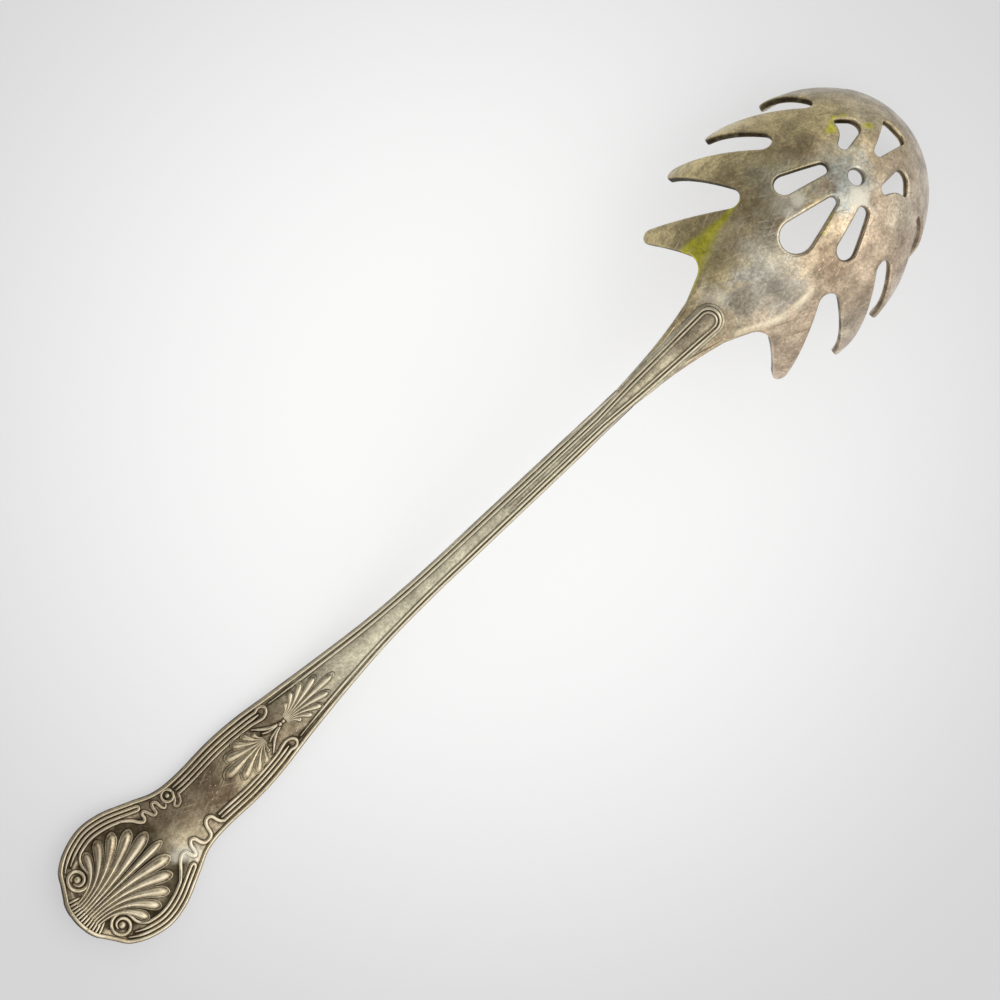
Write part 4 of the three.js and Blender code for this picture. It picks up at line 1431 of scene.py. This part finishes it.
class SERVER_OT_bowl(bpy.types.Operator):
    """Cuts the pierced, pronged blank and presses it to the bowl"""
    bl_idname = "server.bowl"
    bl_label = "Bowl"

    def execute(self, context):
        scene = context.scene
        bowl = scene.server_bowl
        rounding = bowl.back_round / MM
        blank, insets, triangles = blank_sheet(bowl_contours(RIM_STEP), rounding)
        x, y = blank.T
        from_side = np.clip(STEM_HALF - np.abs(y), 0.0, rounding)
        insets = mix(from_side, insets, ease(x, -TANG_END, BUTT_ROUND_START))
        crease = resampled(spline(CREASE, 6), 0.4)
        apart = np.min([np.hypot(x - cx, np.abs(y) + cy) for cx, cy in crease], axis=0)
        ridge = CREASE_HEIGHT * (1 - ease(apart, *CREASE_FADE)) * (insets > 0.6 * rounding)
        fall = edge_drop(insets, rounding) - ridge
        depth = sheet_at(x, bowl) - edge_drop(insets, bowl.front_round / MM)
        vertices = np.vstack([bowl_points(x, y, bowl, -fall), bowl_points(x, y, bowl, -depth)]) * MM
        faces = sheet_faces(triangles, len(blank))
        piece = new_piece("pressed_bowl", vertices, faces, material_for("bowl_plate", scene))

        # Cut walls are tarnished, and painted shade darkens them more and on a wider band towards +Y, the side
        # turned from the light; the edges beside them are a little worn
        shaded_side_share = ease(y, *WALL_SHADE_SIDE)
        wall = 1 - ease(insets, 0.0, mix(0.12, 0.5, shaded_side_share) * rounding)
        wall_tarnish_and_shade = wall * mix(0.65, 1.0, shaded_side_share)
        worn = (1 - ease(insets, 0.1, rounding)) * (1 - wall)
        # Painted highlight along the crease, set as bright worn edge: full on -Y, faint on +Y
        brightened = (1 - ease(apart, *CREASE_HIGHLIGHT)) * np.where(y < 0, 1.0, 0.3)
        hollow = np.concatenate([wall_tarnish_and_shade, np.maximum(wall_tarnish_and_shade, 0.25)])
        edge = np.concatenate([np.maximum(worn * 0.15, brightened), worn * 0.2])
        # The plate is cleanest between the neck and the drop-shaped hole
        bloom = mix(0.2, 0.4, ease(np.hypot(x + 22, y), 5, 14))
        store_wear_and_painted_light(piece, hollow, edge, np.tile(bloom, 2))
        store(piece.data, "stain_and_reflection", np.concatenate([stain_and_reflection_at(x, y), np.zeros(len(blank))]))
        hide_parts("bowl")
        return {"FINISHED"}


class SERVER_OT_handle(bpy.types.Operator):
    """Forms the struck handle's plain blank and its tongue"""
    bl_idname = "server.handle"
    bl_label = "Handle blank"

    def execute(self, context):
        scene = context.scene
        form = handle_form(scene)
        material = material_for("handle_plate", scene)
        vertices, faces, places = handle_blank(form)
        piece = new_piece("handle_blank", vertices, faces, material)
        ornament = np.vstack([path for _, runs, _ in thread_runs(form) for path, _ in runs])
        tree = KDTree(len(ornament))
        for k, (x, y) in enumerate(ornament):
            tree.insert((x, y, 0.0), k)
        tree.balance()
        gaps = np.array([tree.find((x, y, 0.0))[2] for x, y in places])
        # Tarnish stays beside the ornament, less along the stem, and on the sunk ground round the shell
        in_shell = form.shell_ground(places[:, 0], places[:, 1]) / max(form.recess, 1e-6)
        grooves = (1 - ease(gaps, 0.42, 0.80)) * mix(1.0, 0.5, ease(places[:, 0], 62, 80))
        store_wear_and_painted_light(piece, np.maximum(grooves, 0.88 * in_shell), 0.0, form.bloom(places[:, 0]))
        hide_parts("handle")
        return {"FINISHED"}


class SERVER_OT_threads(bpy.types.Operator):
    """Sweeps the threads, scrolls, foot ribs and knot of the handle, and the neck's threads, along paths"""
    bl_idname = "server.threads"
    bl_label = "Threads and scrolls"

    def execute(self, context):
        scene = context.scene
        form = handle_form(scene)
        material = material_for("handle_plate", scene)
        flatness = scene.server_handle.thread_relief / MM / RELIEF_HALF
        for name, runs, faces in thread_runs(form):
            lay_piece(form, name, thread_mesh(runs, flatness, material), faces, material)

        run = beside(resampled(neck_edge(), 0.4), NECK_THREAD_INSET)
        run = (run, tapered(run, NECK_THREAD_HALF, 0.6, 0.1, 0.35))
        material = material_for("bowl_plate", scene)
        flat = thread_mesh([run] + mirrored([run]), NECK_THREAD_FLATNESS, material)
        plan, polygons = mesh_arrays(flat)
        x, y, z = plan.T
        vertices = bowl_points(x, y, scene.server_bowl, z) * MM
        piece = new_piece("neck_threads", vertices, polygons, material)
        store_wear_and_painted_light(piece, 0.7 * (1 - ease(z, 0.02, 0.2)), ease(z, 0.15, 0.25), 0.3)
        return {"FINISHED"}


class SERVER_OT_shell(bpy.types.Operator):
    """Fans out the shell's flutes, the palmette and the plume on both faces"""
    bl_idname = "server.shell"
    bl_label = "Shell and palmettes"

    def execute(self, context):
        scene = context.scene
        handle = scene.server_handle
        form = handle_form(scene)
        material = material_for("handle_plate", scene)
        tree = group_once("Fan of lobes", fan_tree)
        relief = handle.flute_relief / MM
        # Name, place of the hinge, turn, share of wear and sizes of each fan
        fans = [
            ("shell_flutes", 2.84, 0.0, 0.85, {
                "Lobes": handle.flutes, "Spacing": handle.flute_spacing, "Turn": math.radians(15.0),
                "Length": handle.flute_length / MM, "Drop": 0.73, "Drop power": 1.59, "Root gap": 0.66,
                "Half width": 1.66, "Middle width": 0.66, "Narrowing": 0.055, "Relief": relief}),
            ("palmette", 57.4, math.pi, 0.35, {
                "Lobes": 9, "Spacing": math.radians(17.6), "Turn": math.radians(21.5),
                "Length": 12.5, "Drop": 2.35, "Drop power": 1.0, "Root gap": 0.2,
                "Half width": 1.55, "Middle width": 1.0, "Narrowing": 0.12, "Relief": 0.9 * relief}),
            ("plume", 63.9, 0.0, 1.0, {
                "Lobes": 9, "Spacing": math.radians(11.6), "Turn": math.radians(15.5),
                "Length": 15.3, "Drop": 3.2, "Drop power": 0.92, "Root gap": 0.25,
                "Half width": 1.0, "Middle width": 1.0, "Narrowing": 0.06, "Relief": 0.75 * relief}),
        ]
        for name, hinge, turn, brightened, values in fans:
            made = run_tree(tree, bpy.data.meshes.new("empty"), {**values, "Material": material})
            made.transform(Matrix.Translation((hinge, 0.0, 0.0)) @ Matrix.Rotation(turn, 4, "Z"))
            lay_piece(form, name, made, ("back", "front"), material, brightened)
        return {"FINISHED"}


class SERVER_OT_solder(bpy.types.Operator):
    """Runs a bead of solder round the tongue, and a short one on each side of the butt"""
    bl_idname = "server.solder"
    bl_label = "Solder seam"

    def execute(self, context):
        scene = context.scene
        form = handle_form(scene)
        reach, half = tongue_side(TANG_END - 0.05, 30, np.radians(np.linspace(6, 90, 16)))
        side = np.array([form.lap_point(r) + np.array([0.0, y, 0.0]) for r, y in zip(reach, half)])
        path = resampled(np.vstack([side, side[::-1][1:] * (1, -1, 1)]), 0.4)
        butt = form.lap_point(TANG_END + 0.1) - form.up * NECK_SHEET / 2
        halves = np.linspace(TONGUE_ROOT_HALF - 0.6, STEM_HALF - 0.45, 9)
        across = np.array([butt + (0.0, y, 0.0) for y in halves])
        beads = [(path * MM, tapered(path, SEAM_HALF, 0.3, 0.3, 0.12) * MM)]
        beads += [(across * (1, way, 1) * MM, BUTT_BEAD_HALF * MM) for way in (1, -1)]
        material = material_for("solder", scene)
        piece = dress(thread_mesh(beads, 1.0, material, sides=16), "solder_seam", material)
        store_wear_and_painted_light(piece, 0.1, 0.0, 0.3)
        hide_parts("solder_fillet")
        return {"FINISHED"}


class SERVER_OT_stage(bpy.types.Operator):
    """Sets the floor, the soft studio light and the camera"""
    bl_idname = "server.stage"
    bl_label = "Stage"

    def execute(self, context):
        scene = context.scene
        stage = scene.server_stage
        corners = [(x * FLOOR_HALF, y * FLOOR_HALF, 0) for x, y in ((-1, -1), (1, -1), (1, 1), (-1, 1))]
        floor = bpy.data.meshes.new("floor")
        floor.from_pydata(corners, [], [(0, 1, 2, 3)])
        floor.materials.append(floor_material(stage))
        ground = bpy.data.objects.new("floor", floor)
        ground.location.z = CAD_LOW.z - FLOOR_DROP
        camera = studio_camera()
        for thing in (ground, key_lamp(stage), camera):
            scene.collection.objects.link(thing)
        ground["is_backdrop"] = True
        scene.world = studio_world(stage)
        scene.camera = camera
        scene.view_settings.view_transform = "Standard"
        return {"FINISHED"}


class SERVER_PT_panel(bpy.types.Panel):
    """Lists the server's pieces and their settings"""
    bl_idname = "SERVER_PT_panel"
    bl_label = "Pasta server"
    bl_space_type = "VIEW_3D"
    bl_region_type = "UI"
    bl_category = "Server"

    def draw(self, context):
        for operator in OPERATORS:
            self.layout.operator(operator.bl_idname)
        for settings in SETTINGS:
            group = getattr(context.scene, settings)
            for name in group.bl_rna.properties.keys():
                if name not in {"rna_type", "name"}:
                    self.layout.prop(group, name)


OPERATORS = (
    SERVER_OT_bowl, SERVER_OT_handle, SERVER_OT_threads, SERVER_OT_shell, SERVER_OT_solder, SERVER_OT_stage,
)
SETTINGS = {
    "server_bowl": BowlSettings,
    "server_handle": HandleSettings,
    "server_finish": FinishSettings,
    "server_stage": StageSettings,
}


def register():
    for cls in (*SETTINGS.values(), *OPERATORS, SERVER_PT_panel):
        bpy.utils.register_class(cls)
    for name, cls in SETTINGS.items():
        setattr(bpy.types.Scene, name, PointerProperty(type=cls))


def unregister():
    for name in SETTINGS:
        delattr(bpy.types.Scene, name)
    for cls in (SERVER_PT_panel, *OPERATORS[::-1], *list(SETTINGS.values())[::-1]):
        bpy.utils.unregister_class(cls)


def main():
    register()
    bpy.ops.server.bowl()
    bpy.ops.server.handle()
    bpy.ops.server.threads()
    bpy.ops.server.shell()
    bpy.ops.server.solder()
    bpy.ops.server.stage()


if __name__ == "__main__":
    main()
